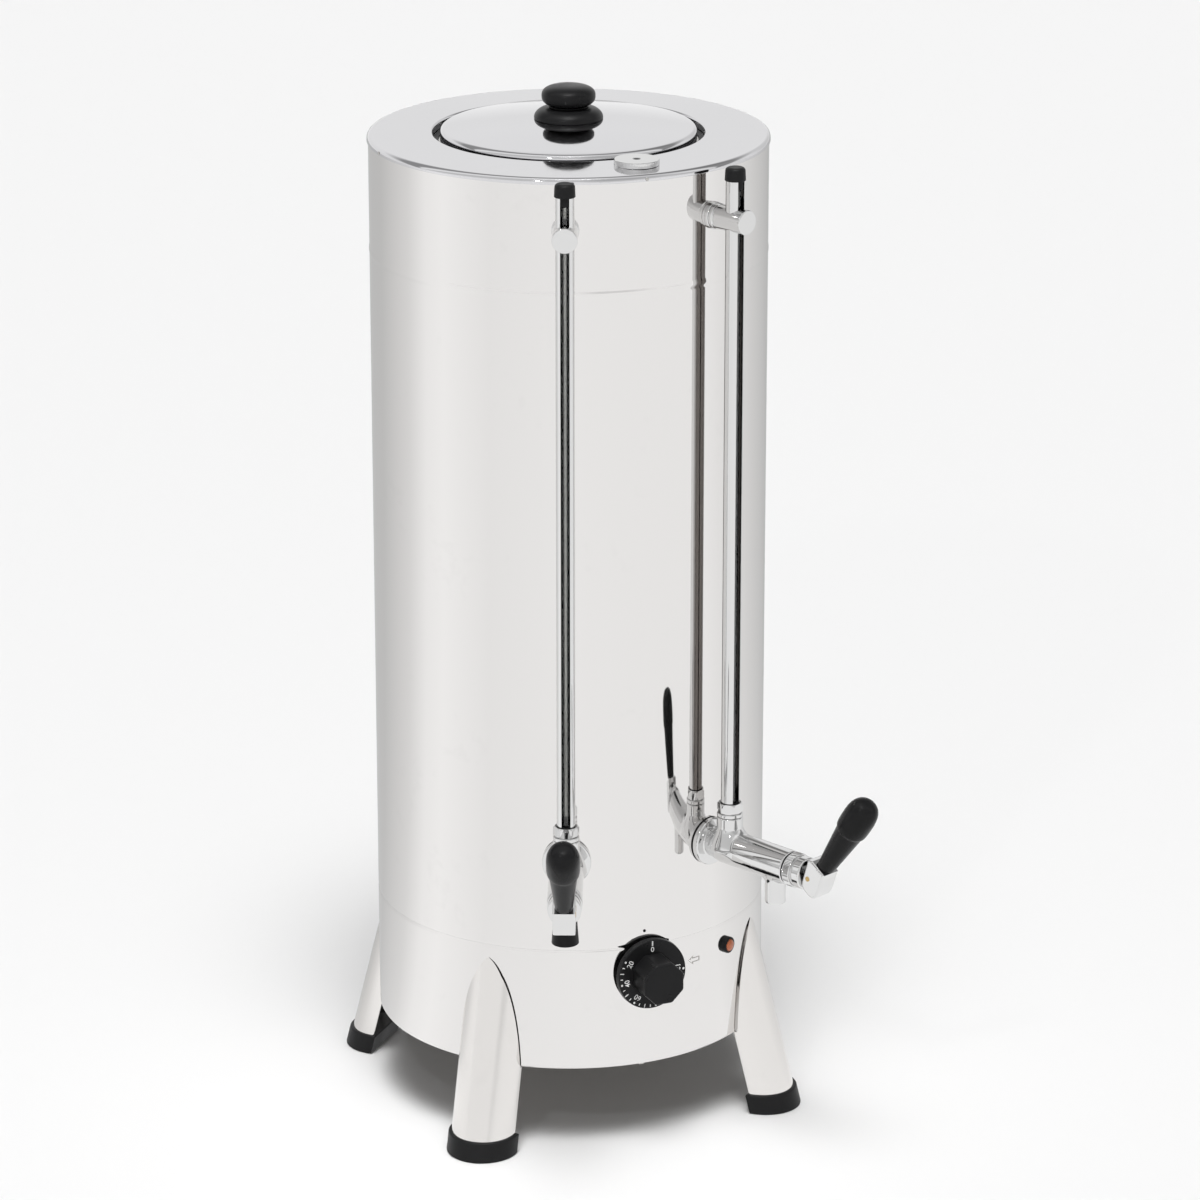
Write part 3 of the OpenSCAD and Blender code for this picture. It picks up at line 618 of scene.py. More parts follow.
def finish(name):
    """The named finish, made at its first use."""
    if name in bpy.data.materials:
        return bpy.data.materials[name]
    c = bpy.context.scene.urn_colours
    fine, dim, dimmer = (300, 300, 300), {"Specular_IOR_Level": 0.15}, {"Specular_IOR_Level": 0.12}
    made = {
        "urn_polished_sheet": lambda n: metal(n, c.steel, 0.035, (6, 6, 700), 0.015, 1e-7, 2e-5),
        "urn_deck_sheet": lambda n: metal(n, c.deck_steel, 0.06, (160, 160, 160), 0.015, 1e-7, 1e-5),
        "urn_leg_steel": lambda n: metal(n, c.leg_steel, 0.13, (30, 30, 5), 0.0, 0.0, vary=0.08),
        "urn_chrome": lambda n: metal(n, c.chrome, 0.045, (260, 260, 260), 0.02, 1e-7),
        # guard tubes: chrome with the back towards the body painted dark, painted shade
        "urn_tube_chrome": lambda n: metal(n, c.chrome, 0.06, (500, 500, 6), 0.02, 1e-7, painted_shade=tube_back_painted_shade),
        "urn_inner_steel": lambda n: metal(n, c.inner_steel, 0.26, (8, 8, 900), 0.08, 2e-6),
        "urn_screw_steel": lambda n: metal(n, (0.5, 0.49, 0.47), 0.28, fine, 0.1, 1e-6),
        "urn_brass": lambda n: metal(n, c.brass, 0.24, fine, 0.12, 1e-6, cover=0.3),
        "urn_dark_steel": lambda n: metal(n, (0.2, 0.19, 0.18), 0.4, (200, 200, 200), 0.1, 2e-6),
        "urn_black_plastic": lambda n: moulded(n, c.plastic, 0.3, 1100.0, 4e-6, 0.04, **dim),
        "urn_grip_plastic": lambda n: moulded(n, c.plastic, 0.14, 1100.0, 2e-6, 0.03, **dimmer),
        "urn_black_rubber": lambda n: moulded(n, c.rubber, 0.45, 800.0, 2e-5, 0.05, **dim),
        "urn_pale_plastic": lambda n: moulded(n, c.pale, 0.45, 600.0, 3e-5),
        "urn_dial_print": lambda n: moulded(n, c.print_white, 0.5, 1500.0, 8e-6),
        "urn_amber_lens": lambda n: amber_finish(n, c.amber),
        "urn_clear_glass": glass_finish,
    }
    return made[name](name)


# Pieces


class URN_OT_body_shell(bpy.types.Operator):
    """Rolled body shell with its bead: r = body + rise cos^2 of the way across the bead, turned round Z"""

    bl_idname = "urn.body_shell"
    bl_label = "Body shell"

    def execute(self, context):
        r, rim, seam, bead, rise = mm(
            context, "body_radius", "rim_height", "seam_height", "bead_height", "bead_rise"
        )
        wide, overlap = 4.2, 12
        low = [(r - 2.2, seam - overlap), (r - 1.2, seam - overlap), (r - 1.2, seam + SEAM_GAP)]
        wall = np.linspace([r, seam + overlap], [r, bead - 6], 24)
        z = bead + np.linspace(-wide, wide, 25)
        hump = np.stack([r + rise * np.cos((z - bead) / wide * pi / 2) ** 2, z], -1)
        above = np.linspace([r, bead + 6], [r, rim - 12], 6)
        lip = [
            (r, rim - 8, 0),
            (r, rim - 3.6, 0.3),
            (r - 1, rim - 3.6, 0.3),
            (r - 1, seam + 1.6, 0),
            (r - 2.2, seam + 1.6, 0),
        ]
        dip = seam_dip(r, seam, SEAM_GAP, SEAM_WIDE)
        line = np.concatenate([low, dip, wall, hump, above, rounded(lip)])
        put("shell_sheet", [lathe(line, BODY_FACETS, True)], "urn_polished_sheet", ["body_shell"])
        dot = [(0, r - 0.4, 0), (1.3, r - 0.4, 0), (1.3, r + 0.55, 0.5), (0, r + 0.6, 0)]
        index = radial(outwards(turned(dot, 32), index_height(context)), 0)
        put("index_dot", [index], "urn_black_plastic")
        return {"FINISHED"}


def seam_dip(r, seam, low, high):
    """Outer line across the seam: r less a shallow dip, cos^2 of the way from the seam."""
    z = np.linspace(low, high, 12)
    return np.stack([r - SEAM_DIP * np.cos(z / SEAM_WIDE * pi / 2) ** 2, seam + z], -1)


def index_height(context):
    """Height of the index dot: just over the dial."""
    dial, radius, seam = mm(context, "dial_height", "dial_radius", "seam_height")
    return max(seam + 2.4, dial + radius + 6)


class URN_OT_base_skirt(bpy.types.Operator):
    """Base skirt with rolled edges, and the outlined arrow beside the dial"""

    bl_idname = "urn.base_skirt"
    bl_label = "Base skirt"

    def execute(self, context):
        r, low, seam, dial = mm(context, "body_radius", "skirt_height", "seam_height", "dial_height")
        flange, sheet = 13, 1.1
        outer = rounded([(r - flange, low, 0), (r, low, 1.8), (r, low + 6, 0)])
        wall = np.linspace([r, low + 12], [r, seam - 6], 8)
        dip = seam_dip(r, seam, -SEAM_WIDE, -SEAM_GAP)
        back = r - sheet
        inner = rounded([(back, seam - SEAM_GAP, 0), (back, low + 1, 0.8), (r - flange, low + 1, 0)])
        line = np.concatenate([outer, wall, dip, inner])
        put("skirt_sheet", [lathe(line, BODY_FACETS, True)], "urn_polished_sheet", ["base_skirt"])
        # arrow outline: each point moved inwards along the mitre gives the inner edge of the raised line
        stroke, arrow_turn = 0.6, radians(17)
        p = np.array([(-6, 0), (-1, -4), (-1, -2), (6, -2), (6, 2), (-1, 2), (-1, 4)], float)
        one, two = unit(p - np.roll(p, 1, 0)), unit(np.roll(p, -1, 0) - p)
        side = np.stack([-one[:, 1], one[:, 0]], -1)
        mitre = unit(side + np.stack([-two[:, 1], two[:, 0]], -1))
        inner = p + mitre * stroke / np.maximum((mitre * side).sum(1), 0.3)[:, None]
        crown = [(p + (inner - p) * share, 0.5) for share in (0.2, 0.8)]
        rings = [(p, -0.3), (p, 0.35), *crown, (inner, 0.35), (inner, -0.3)]
        a = np.concatenate([arrow_turn + q[:, 0] / r for q, h in rings])
        z = np.concatenate([dial + 0.8 - q[:, 1] for q, h in rings])
        h = np.concatenate([r + h + 0 * q[:, 0] for q, h in rings])
        arrow = (np.stack([h * np.sin(a), -h * np.cos(a), z], -1), quads(len(rings), len(p), True))
        put("dial_arrow", [arrow], "urn_screw_steel")
        return {"FINISHED"}


class URN_OT_top_deck(bpy.types.Operator):
    """Top deck: a rounded channel section turned round Z, pierced for the filler neck, and its rivets"""

    bl_idname = "urn.top_deck"
    bl_label = "Top deck"

    def execute(self, context):
        r, rim, hole, at, filler = mm(
            context, "body_radius", "rim_height", "opening_radius", "filler_turn", "filler_radius"
        )
        o = r + 1.2
        section = [
            (o - 1, rim - 6.8, 0.2),
            (o, rim - 6.8, 0.4),
            (o, rim - 1.5, 4),
            (hole, rim, 2),
            (hole, rim - 7.8, 0.3),
            (hole + 1, rim - 7.8, 0.2),
            (hole + 1, rim - 1, 1),
            (o - 1, rim - 2.5, 3),
        ]
        deck = put("deck_sheet", [ring(section, BODY_FACETS, 9)], "urn_deck_sheet", ["top_deck"])
        neck = shifted(drill(filler - 4.3, rim - 6, rim + 3), r - FILLER_INSET - filler)
        pierce(deck, radial(neck, at))
        cap = [
            (0, r - 2.5, 0),
            (0.8, r - 2.5, 0),
            (0.8, o + 0.02, 0),
            (1.5, o + 0.02, 0),
            (1.4, o + 0.5, 0.4),
            (0, o + 0.8, 0),
        ]
        rivet = outwards(turned(cap, 24), rim - 5)
        heads = [radial(rivet, pi / 2 * i) for i in range(4)]
        put("rim_rivet_heads", heads, "urn_screw_steel", ["rim_rivets"])
        return {"FINISHED"}


def leg_line(context):
    """Outermost line of a leg at the floor, the leg's radius and its tilt."""
    r, leg, arch, tilt = mm(context, "body_radius", "leg_radius", "leg_arch", "leg_tilt")
    return r + arch * tan(tilt), leg, tilt


def leg_places(context):
    """Azimuth of each leg by its name."""
    a = context.scene.urn_sizes.leg_turn
    return {"front_left": -a, "front_right": a, "rear_left": pi + a, "rear_right": pi - a}


class URN_OT_legs(bpy.types.Operator):
    """Four half-pipe legs, tilted outwards and cut to the body.

    A point of the pipe is base + R (cos q, sin q) + h along the leaning axis; h ends where its line
    meets the body cylinder, or the plane under the skirt where it passes below the body.
    """

    bl_idname = "urn.legs"
    bl_label = "Legs"

    def execute(self, context):
        reach, leg, t = leg_line(context)
        r, wall, low = mm(context, "body_radius", "leg_wall", "skirt_height")
        under, edge, in_shoe = low - 0.2, 0.5, 6
        q = np.linspace(-pi / 2, pi / 2, 65)
        outer = np.stack([leg * np.cos(q), leg * np.sin(q)], -1)
        inner = np.stack([(leg - wall) * np.cos(q), (leg - wall) * np.sin(q)], -1)[::-1]
        outer[[0, -1], 0] += edge
        inner[[0, -1], 0] += edge
        lip = np.array([[0, leg - edge * 0.6], [0, leg - wall + edge * 0.6]])
        loop = np.concatenate([outer, lip, inner, lip[::-1] * [1, -1]])
        x, y = loop[:, 0] - leg, loop[:, 1]
        # the slit beside the body widens from the top of the arch to 12 mm down its sides
        seat = r + 0.2 + 1.6 * np.minimum(1, np.abs(y) / 12)
        at_body = (reach + x * cos(t) - np.sqrt(seat**2 - y**2)) / sin(t)
        at_plane = (under - x * sin(t)) / cos(t)
        top = np.where(x * sin(t) + at_body * cos(t) > under, at_body, at_plane)
        foot = (in_shoe - x * sin(t)) / cos(t)
        w = np.array([0, 0.004, 0.1, 0.2, 0.3, 0.4, 0.5, 0.6, 0.7, 0.8, 0.9, 0.97, 1])[:, None]
        h = foot + (top - foot) * w
        v = np.stack([reach + x * cos(t) - h * sin(t), y + 0 * h, x * sin(t) + h * cos(t)], -1)
        k, n = len(q), len(loop)
        i = np.arange(k - 1)
        ends = np.stack([i, i + 1, 2 * k - i, 2 * k + 1 - i], -1)
        tip = np.array([[k - 1, k, k + 1, k + 2], [0, n - 1, n - 2, 2 * k + 1]])
        caps = np.concatenate([ends, tip])
        faces = np.concatenate([quads(len(w), n), caps, caps + n * (len(w) - 1)])
        shell = (v.reshape(-1, 3), faces)
        for name, a in leg_places(context).items():
            put("leg_channel_" + name, [radial(shell, a)], "urn_leg_steel", ["leg_" + name])
        return {"FINISHED"}


class URN_OT_feet(bpy.types.Operator):
    """Rubber shoes of the legs: a D outline, drawn in at its rounded edges, stacked up the leaning axis"""

    bl_idname = "urn.feet"
    bl_label = "Feet"

    def execute(self, context):
        reach, leg, t = leg_line(context)
        high = mm(context, "foot_height")[0]
        wall = 2.5
        big = leg + wall
        side = rounded([(20, 0, 0), (0, 0, 1.6), (0, high, 1.3), (20, high, 0)], 8)
        inset, z = side[1:-1, 0], side[1:-1, 1]
        wide = pi / 2 + np.arcsin(wall / big)
        q = np.linspace(-wide, wide, 72)
        back = np.linspace(1, -1, 24)[1:-1]
        size = (big - inset)[:, None]
        flat = -(wall - inset)[:, None]
        bow = np.maximum(size * np.cos(q), flat)
        arc = np.stack([bow / cos(t), size * np.sin(q)], -1)
        chord = np.stack([flat / cos(t) + 0 * back, size * np.sin(wide) * back], -1)
        loop = np.concatenate([arc, chord], 1)
        x = reach - leg / cos(t) - z[:, None] * tan(t) + loop[..., 0]
        v = np.stack([x, loop[..., 1], z[:, None] + 0 * x], -1)
        rows, n = v.shape[:2]
        middle = v[[0, -1]].mean(1)
        v = np.concatenate([np.repeat(middle[:1], n, 0)[None], v, np.repeat(middle[1:], n, 0)[None]])
        shell = (v.reshape(-1, 3), quads(rows + 2, n))
        shoes = [radial(shell, a) for a in leg_places(context).values()]
        put("foot_shoes", shoes, "urn_black_rubber", ["rubber_feet"], sharp=50)
        return {"FINISHED"}


class URN_OT_filler(bpy.types.Operator):
    """Filler disc with a milled rim, a vent hole and its plug, turned round its own axis"""

    bl_idname = "urn.filler"
    bl_label = "Filler disc"

    def execute(self, context):
        r, rim, size, vent, a = mm(
            context, "body_radius", "rim_height", "filler_radius", "vent_radius", "filler_turn"
        )
        plug, face = size - 6.3, 3.9
        section = [
            (vent, -7, 0.2),
            (plug, -7, 0.6),
            (plug, -0.8, 0),
            (size, -0.8, 0.35),
            (size, face, 0.7),
            (vent, face, 0.5),
        ]
        disc = ring(section, 360, 7, knurled(0.28, 90, 0.8, 3.4))
        placed = radial(shifted(disc, r - FILLER_INSET - size, 0, rim), a)
        put("filler_disc", [placed], "urn_chrome", ["filler_cap"], "filler_cap", sharp=50)
        return {"FINISHED"}


class URN_OT_vessel(bpy.types.Operator):
    """Coffee vessel: a drawn pot with a rounded bottom and the ledge that carries the lid, turned round Z"""

    bl_idname = "urn.vessel"
    bl_label = "Coffee vessel"

    def execute(self, context):
        rim, r, hole = mm(context, "rim_height", "vessel_radius", "opening_radius")
        low, ledge, lip = box("coffee_vessel")[0][2], rim - 8, hole + 1.2
        section = [
            (0, low, 0),
            (r + 1, low, 9),
            (r + 1, ledge - 1, 1),
            (lip + 1, ledge - 1, 1),
            (lip + 1, rim - 2.2, 0.3),
            (lip, rim - 2.2, 0.3),
            (lip, ledge, 0.6),
            (r, ledge, 1.5),
            (r, low + 1, 8),
            (0, low + 1, 0),
        ]
        pot = put("vessel_wall", [turned(section, 192, 9)], "urn_inner_steel", ["coffee_vessel"])
        # painted shade: a black ring laid in the gap round the lid so that the gap reads dark
        near, far, foot, top = r + 4, hole - 0.4, ledge + 0.02, ledge + 1.2
        seal = [(near, foot, 0.2), (far, foot, 0.2), (far, top, 0.5), (near, top, 0.5)]
        put("lid_gap_shade_ring", [ring(seal, 160, 5)], "urn_black_rubber")
        tap, a = mm(context, "tap_height", "tap_turn")
        pierce(pot, radial(outwards(drill(6.4, r - 10, r + 10), tap), -a))
        return {"FINISHED"}


class URN_OT_lid(bpy.types.Operator):
    """Domed lid and its two-tier knob.

    The dome is an arc of radius (e^2 + c^2) / 2c over an edge of radius e and a crown c; the knob is a
    flared foot r = w + (k - w) cos t, a waist bead and a grip r = g |cos t|^0.74, turned round Z.
    """

    bl_idname = "urn.lid"
    bl_label = "Lid and knob"

    def execute(self, context):
        rim, r, crown, knob = mm(context, "rim_height", "lid_radius", "lid_crown", "knob_radius")
        bend, sheet = 4, 1
        edge, top = r - bend, rim + 3
        big = (edge**2 + crown**2) / (2 * crown)
        x = np.linspace(0, edge, 40)
        dome = np.stack([x, top + crown - big + np.sqrt(big**2 - x**2)], -1)
        tilt = np.arcsin(edge / big)
        b = np.linspace(tilt, pi / 2, 10)
        roll = np.stack([edge + bend * np.sin(b), top - bend * np.cos(tilt) + bend * np.cos(b)], -1)
        roll = roll - [bend * np.sin(tilt), 0]
        low = box("lid")[0][2]
        out, start = roll[-1, 0], roll[-1, 1] - 0.5
        hem = rounded([(out, start, 0), (out, low, 0.45), (out - sheet, low, 0.45), (out - sheet, start, 0)])
        under = np.stack([dome[::-1, 0] * (out - 2.4) / edge, dome[::-1, 1] - sheet], -1)
        line = np.concatenate([dome, roll[1:], hem, under])
        put("lid_dome", [lathe(line, 240)], "urn_deck_sheet", ["lid"], "lid")
        waist, grip, full = knob * 0.56, knob * 0.78, 0.74
        t = np.linspace(0, pi / 2, 16)
        flare = np.stack([waist + (knob - waist) * np.cos(t), 0.3 + 8.7 * np.sin(t)], -1)
        inside, outside = waist - 0.9, waist + 0.4
        bead = rounded([(inside, 9.2, 0), (outside, 9.3, 0.35), (outside, 10.1, 0.35), (inside, 10.2, 0)], 5)
        s = np.linspace(radians(-62), pi / 2, 40)
        rise = np.sign(np.sin(s)) * np.abs(np.sin(s)) ** full
        ball = np.stack([grip * np.abs(np.cos(s)) ** full, 18.3 + 9.2 * rise], -1)
        foot = rounded([(0, 0.1, 0), (knob - 0.1, -0.4, 0.35), (knob, 0.3, 0)], 5)[:-1]
        handle = shifted(lathe(np.concatenate([foot, flare, bead, ball]), 128), 0, 0, top + crown)
        put("lid_handle", [handle], "urn_black_plastic", ["lid_knob"], "lid")
        return {"FINISHED"}


class URN_OT_taps(bpy.types.Operator):
    """Cast tap bodies, wall flanges, milled bonnets and their sealing rings.

    The casting is the blended union of a barrel, a cone-shaped gauge branch and a spout, less the
    spout's bore: a distance field whose zero surface is meshed once and turned to both azimuths.
    """

    bl_idname = "urn.taps"
    bl_label = "Taps"

    def execute(self, context):
        z0, barrel, spout, far, near = mm(
            context, "tap_height", "barrel_radius", "spout_radius", "spout_reach", "gauge_reach"
        )
        flange, body, a = mm(context, "flange_radius", "body_radius", "tap_turn")
        wall = body + 5
        end = far + spout + 9.3
        mouth = box("water_tap_body")[0][2] - z0
        neck_x = [wall, wall + 5, wall + 10, wall + 14]
        neck_r = [barrel - 2.3, barrel - 2, barrel - 0.8, barrel]

        def field(p):
            x, y, z = p[..., 0], p[..., 1], p[..., 2]
            rho, q, s = np.hypot(y, z), np.hypot(x - near, y), np.hypot(x - far, y)
            span = np.abs(x - (wall + 0.2 + end) / 2) - (end - wall - 0.2) / 2
            tube = trim(rho - np.interp(x, neck_x, neck_r), span, 1.0)
            shank = trim(rho - 9, np.abs(x - wall + 12) - 14, 0.6)
            cone = np.interp(z, [0, 18, 28], [17, 11, 11])
            branch = trim(0.95 * (q - cone), np.maximum(z - 27.8, -z), 1.2)
            pipe = trim(s - spout, np.maximum(-z + mouth, z), 1.2)
            cast = blend(blend(np.minimum(tube, shank), branch, 5.0), pipe, 4.5)
            return trim(cast, -np.maximum(s - spout + 2.4, z + 11), 0.8)

        low, high = (wall - 28, -18.5, mouth - 1.5), (end + 1.5, 18.5, 29.5)
        p, faces, normals = casting(field, low, high, 0.75)
        for name, way in SIDES.items():
            placed = radial((p + [0, 0, z0], faces), way * a)
            facing = radial((normals, faces), way * a)[0]
            put(name + "_tap_casting", [placed], "urn_chrome", [name + "_tap_body"], normals=facing)
        sleeve = [
            (spout - 1.3, -8, 0.3),
            (spout + 2.6, -8, 0.9),
            (spout + 1.2, 11, 0.5),
            (spout + 0.2, 11, 0.2),
            (spout + 0.2, -0.2, 0),
            (spout - 1.3, -0.2, 0.2),
        ]
        drip = shifted(ring(sleeve, 96, 6), far, 0, z0 + mouth)
        put("coffee_drip_sleeve", [radial(drip, -a)], "urn_black_plastic", ["coffee_nozzle"])
        plate = [
            (0, body, 0),
            (flange, body, 0),
            (flange, wall, 1.5),
            (barrel - 1.2, wall, 0.5),
            (barrel - 2.5, wall + 1, 0),
            (0, wall + 1, 0),
        ]
        plate = saddled(outwards(turned(plate, 96), z0), body + 1.2, body + 0.5)
        put("tap_flange_plates", pair(plate, a), "urn_chrome", ["tap_flanges"])
        bore, rim, foot, top = barrel - 4, barrel - 0.6, end + 0.1, end + 1.3
        seal = [(bore, foot, 0.3), (rim, foot, 0.55), (rim, top, 0.55), (bore, top, 0.3)]
        seal = outwards(ring(seal, 72, 6), z0)
        put("tap_sealing_rings", pair(seal, a), "urn_black_rubber", ["bonnet_orings"])
        stem_hole, thread = 4.3, barrel - 4.2
        section = [
            (stem_hole, end - 11, 0),
            (thread, end - 11, 0.3),
            (thread, end + 1.4, 0),
            (barrel - 0.1, end + 1.4, 0.7),
            (barrel - 0.1, end + 9, 0.7),
            (barrel - 2.2, end + 9, 0.3),
            (barrel - 2.2, end + 11.4, 0.4),
            (barrel - 0.9, end + 11.4, 0.7),
            (barrel - 0.9, end + 19.2, 1.2),
            (stem_hole, end + 19.2, 0.3),
        ]
        bonnet = outwards(ring(section, 288, 6, knurled(0.55, 72, end + 2.0, end + 8.4)), z0)
        for name, way in SIDES.items():
            put(name + "_bonnet_ring", [radial(bonnet, way * a)], "urn_chrome", [name + "_bonnet"], sharp=50)
        return {"FINISHED"}


def cam_flank(turn_, lift, height, tilt):
    """Cam points about the pin: their distance grows evenly with the lever angle, by lift over its turn."""
    k = lift / turn_
    t = np.linspace(turn_ + radians(3), -tilt, 26)
    h, a = height + k * t, pi + t
    return np.stack([h * np.cos(a) - k * np.sin(a), h * np.sin(a) + k * np.cos(a)], -1)


def polygon_field(outline):
    """Signed distance to a closed outline: nearest edge point, negative inside by counting crossings."""
    a = np.array(outline, float)
    b = np.roll(a, -1, 0)
    e = b - a

    def field(x, z):
        near, odd = np.full(x.shape, 1e9), np.zeros(x.shape, bool)
        for (ax, az), bz, (ex, ez) in zip(a, b[:, 1], e):
            wx, wz = x - ax, z - az
            t = np.clip((wx * ex + wz * ez) / (ex * ex + ez * ez), 0, 1)
            near = np.minimum(near, (wx - ex * t) ** 2 + (wz - ez * t) ** 2)
            odd ^= ((az > z) != (bz > z)) & (wx < ex * wz / (ez if abs(ez) > 1e-9 else 1e-9))
        return np.where(odd, -1, 1) * np.sqrt(near)

    return field


class URN_OT_levers(bpy.types.Operator):
    """Lever heads with their cam and slot, and the black grips.

    A head is its side outline given thickness, with edges eased and the slot for the stem taken out;
    a grip is a slim cone with a step and a bulb r = R |cos t|^0.7, turned round the leaning axis.
    """

    bl_idname = "urn.levers"
    bl_label = "Levers"

    def execute(self, context):
        z0, pin, wide, size, big = mm(
            context, "tap_height", "pin_reach", "head_width", "grip_length", "grip_radius"
        )
        rest, a = mm(context, "lever_rest", "tap_turn")
        base = np.array([12, 11.3])
        across = np.array([sin(rest), -cos(rest)])
        front = [(15.6, 2.5), (13, -6), (10.5, -11.5), (8, -14.8), (6.6, -15.6), (3.9, -15.9), (1, -14.6)]
        seat = [(0, 16.5), base - 9 * across, base + 7.3 * across]
        cam = cam_flank(radians(LEVER_TURN), STEM_LIFT, 6.5, radians(14))
        side = polygon_field(np.concatenate([seat, front, cam]))
        slot = polygon_field([(-20, -30), (4, -30), (7, -4), (7, 6), (0, 12), (-20, 12)])
        ease, slot_half = 1.4, 3.3

        def field(p):
            x, y, z = p[..., 0], np.abs(p[..., 1]), p[..., 2]
            d, w = side(x, z) + ease, y - wide / 2 + ease
            plate = np.hypot(np.maximum(d, 0), np.maximum(w, 0)) + np.minimum(np.maximum(d, w), 0) - ease
            return trim(plate, -np.maximum(slot(x, z), y - slot_half), 0.8)

        p, faces, normals = casting(field, (-13, -10.5, -17.5), (29, 10.5, 21), 0.6)
        foot = [(0, 0.1), (6.9, 0.1), (7.3, 0.5), (7.6, 1.3)]
        neck = np.linspace([7.7, 2.0], [big - 2.0, size * 0.565], 12)
        step = [(1.9, 0.575), (1.7, 0.582), (0.9, 0.594), (0.6, 0.6)]
        step = [(big - inset, size * share) for inset, share in step]
        t, full = np.linspace(radians(-31), pi / 2, 44), 0.7
        rise = 0.73 + 0.27 * np.sign(np.sin(t)) * np.abs(np.sin(t)) ** full
        bulb = np.stack([big * np.abs(np.cos(t)) ** full, size * rise], -1)
        bulb = bulb[bulb[:, 1] > size * 0.612]
        handle = tipped(lathe(np.concatenate([foot, neck, step, bulb]), 96), pi / 2 - rest)
        handle = shifted(handle, pin + base[0], 0, z0 + base[1])
        for name, way in SIDES.items():
            placed = radial((p + [pin, 0, z0], faces), way * a)
            facing = radial((normals, faces), way * a)[0]
            lever = name + "_lever"
            put(lever + "_yoke", [placed], "urn_chrome", [lever + "_head"], lever, normals=facing)
            black = radial(handle, way * a)
            put(lever + "_handle", [black], "urn_grip_plastic", [lever + "_grip"], lever)
        return {"FINISHED"}


class URN_OT_gauges(bpy.types.Operator):
    """Sight gauges: slotted guard tubes, glasses, caps, upper brackets and gland nuts.

    The guard tube is a C section of two arcs joined by eased lips, carried straight up; the rest is
    turned, the nut with the radius of a hexagon and the bracket seated on the body.
    """

    bl_idname = "urn.gauges"
    bl_label = "Gauges"

    def execute(self, context):
        body, rim, near, guard, slot = mm(
            context, "body_radius", "rim_height", "gauge_reach", "guard_radius", "slot_width"
        )
        glass, b, high, z0, a = mm(
            context, "glass_radius", "bracket_radius", "bracket_height", "tap_height", "tap_turn"
        )
        inner = guard - 0.8
        tube = self.guard_tube(near, guard, inner, slot, z0 + 36.3, rim - 7)
        bore, foot, head = glass - 1.3, z0 + 26.2, rim - 18.2
        pane = [(bore, foot, 0.3), (glass, foot, 0.4), (glass, head, 0.4), (bore, head, 0.3)]
        pane = shifted(ring(pane, 64, 5), near)
        for name, way in SIDES.items():
            put(name + "_gauge_guard", [radial(tube, way * a)], "urn_tube_chrome", [name + "_guard_tube"])
            put(name + "_gauge_glass", [radial(pane, way * a)], "urn_clear_glass", [name + "_sight_glass"])
        cap = [
            (0, -18, 0),
            (inner - 0.2, -18, 0.5),
            (inner - 0.2, -11, 0),
            (guard + 0.9, -11, 0.7),
            (guard + 0.35, 0, 3.0),
            (0, 0.0, 0),
        ]
        caps = pair(shifted(turned(cap, 72, 10), near, 0, rim), a)
        put("gauge_cap_pair", caps, "urn_black_rubber", ["gauge_caps"])
        x0, x1 = body, near + 14
        section = [
            (0, x0, 0),
            (b + 0.9, x0, 0),
            (b + 0.9, x0 + 2.6, 0.7),
            (b - 0.6, x0 + 3, 0.3),
            (b - 0.6, x0 + 3.8, 0.3),
            (b + 0.5, x0 + 4.1, 0.7),
            (b + 0.5, x0 + 6.3, 0.7),
            (b - 1, x0 + 7, 0.5),
            (b, x0 + 8.6, 1.5),
            (b, x1, 0.9),
            (0, x1, 0),
        ]
        arm = saddled(outwards(turned(section, 96, 6), high), body + 0.1, x0 + 0.5)
        bore = shifted(drill(guard + 0.15, high - 30, high + 30), near)
        for name, way in SIDES.items():
            arms = [radial(arm, way * a)]
            piece = put(name + "_upper_bracket", arms, "urn_chrome", [name + "_gauge_bracket"])
            pierce(piece, radial(bore, way * a))
        top, foot, hole, wide = z0 + 40, z0 + 28, 7.7, 10.9
        nut = [
            (hole, foot + 3.5, 0.3),
            (9.6, foot + 3.5, 0),
            (wide, foot + 4.4, 0),
            (wide, top - 1.2, 0),
            (9.6, top, 0.4),
            (8.8, top, 0.3),
            (8.8, top - 3, 0.3),
            (7.9, top - 3.4, 0.2),
        ]
        nut = shifted(ring(nut, 96, 5, hexagon(18.8)), near)
        collar = [(hole, foot, 0.2), (wide, foot, 0.8), (wide, foot + 3.4, 0.8), (hole, foot + 3.4, 0.2)]
        collar = shifted(ring(collar, 96, 6), near)
        shells = [radial(shell, way * a) for way in SIDES.values() for shell in (nut, collar)]
        put("gauge_gland_nuts", shells, "urn_chrome", ["gland_nuts"])
        return {"FINISHED"}

    def guard_tube(self, near, guard, inner, slot, low, top):
        """The C section, outer arc, lip, inner arc and lip, at four heights, closed at both ends."""
        one, two = np.arcsin(slot / 2 / guard), np.arcsin(slot / 2 / inner)
        q = np.linspace(one + 0.035, 2 * pi - one - 0.035, 73)
        s = np.linspace(2 * pi - two - 0.03, two + 0.03, 65)
        outer_lip = (sqrt(guard**2 - slot**2 / 4) - 0.2, slot / 2)
        inner_lip = (sqrt(inner**2 - slot**2 / 4) + 0.15, slot / 2)
        lip = np.array([outer_lip, inner_lip])
        outside = guard * np.stack([np.cos(q), np.sin(q)], -1)
        inside = inner * np.stack([np.cos(s), np.sin(s)], -1)
        loop = np.concatenate([outside, lip * [1, -1], inside, lip[::-1]])
        x, y = loop[None, :, 0], loop[None, :, 1]
        z = np.array([low, low + 0.3, top - 0.3, top])[:, None]
        v = np.stack([near + x + 0 * z, y + 0 * z, z + 0 * x], -1)
        k, m, n = len(q), len(s), len(loop)
        i = np.arange(m)
        match = np.round(i * (k - 1) / (m - 1)).astype(int)
        back = k + m + 1 - i
        ends = np.stack([match[:-1], match[1:], back[:-1] - 1, back[:-1]], -1)
        return v.reshape(-1, 3), np.concatenate([quads(4, n), ends, ends + 3 * n])


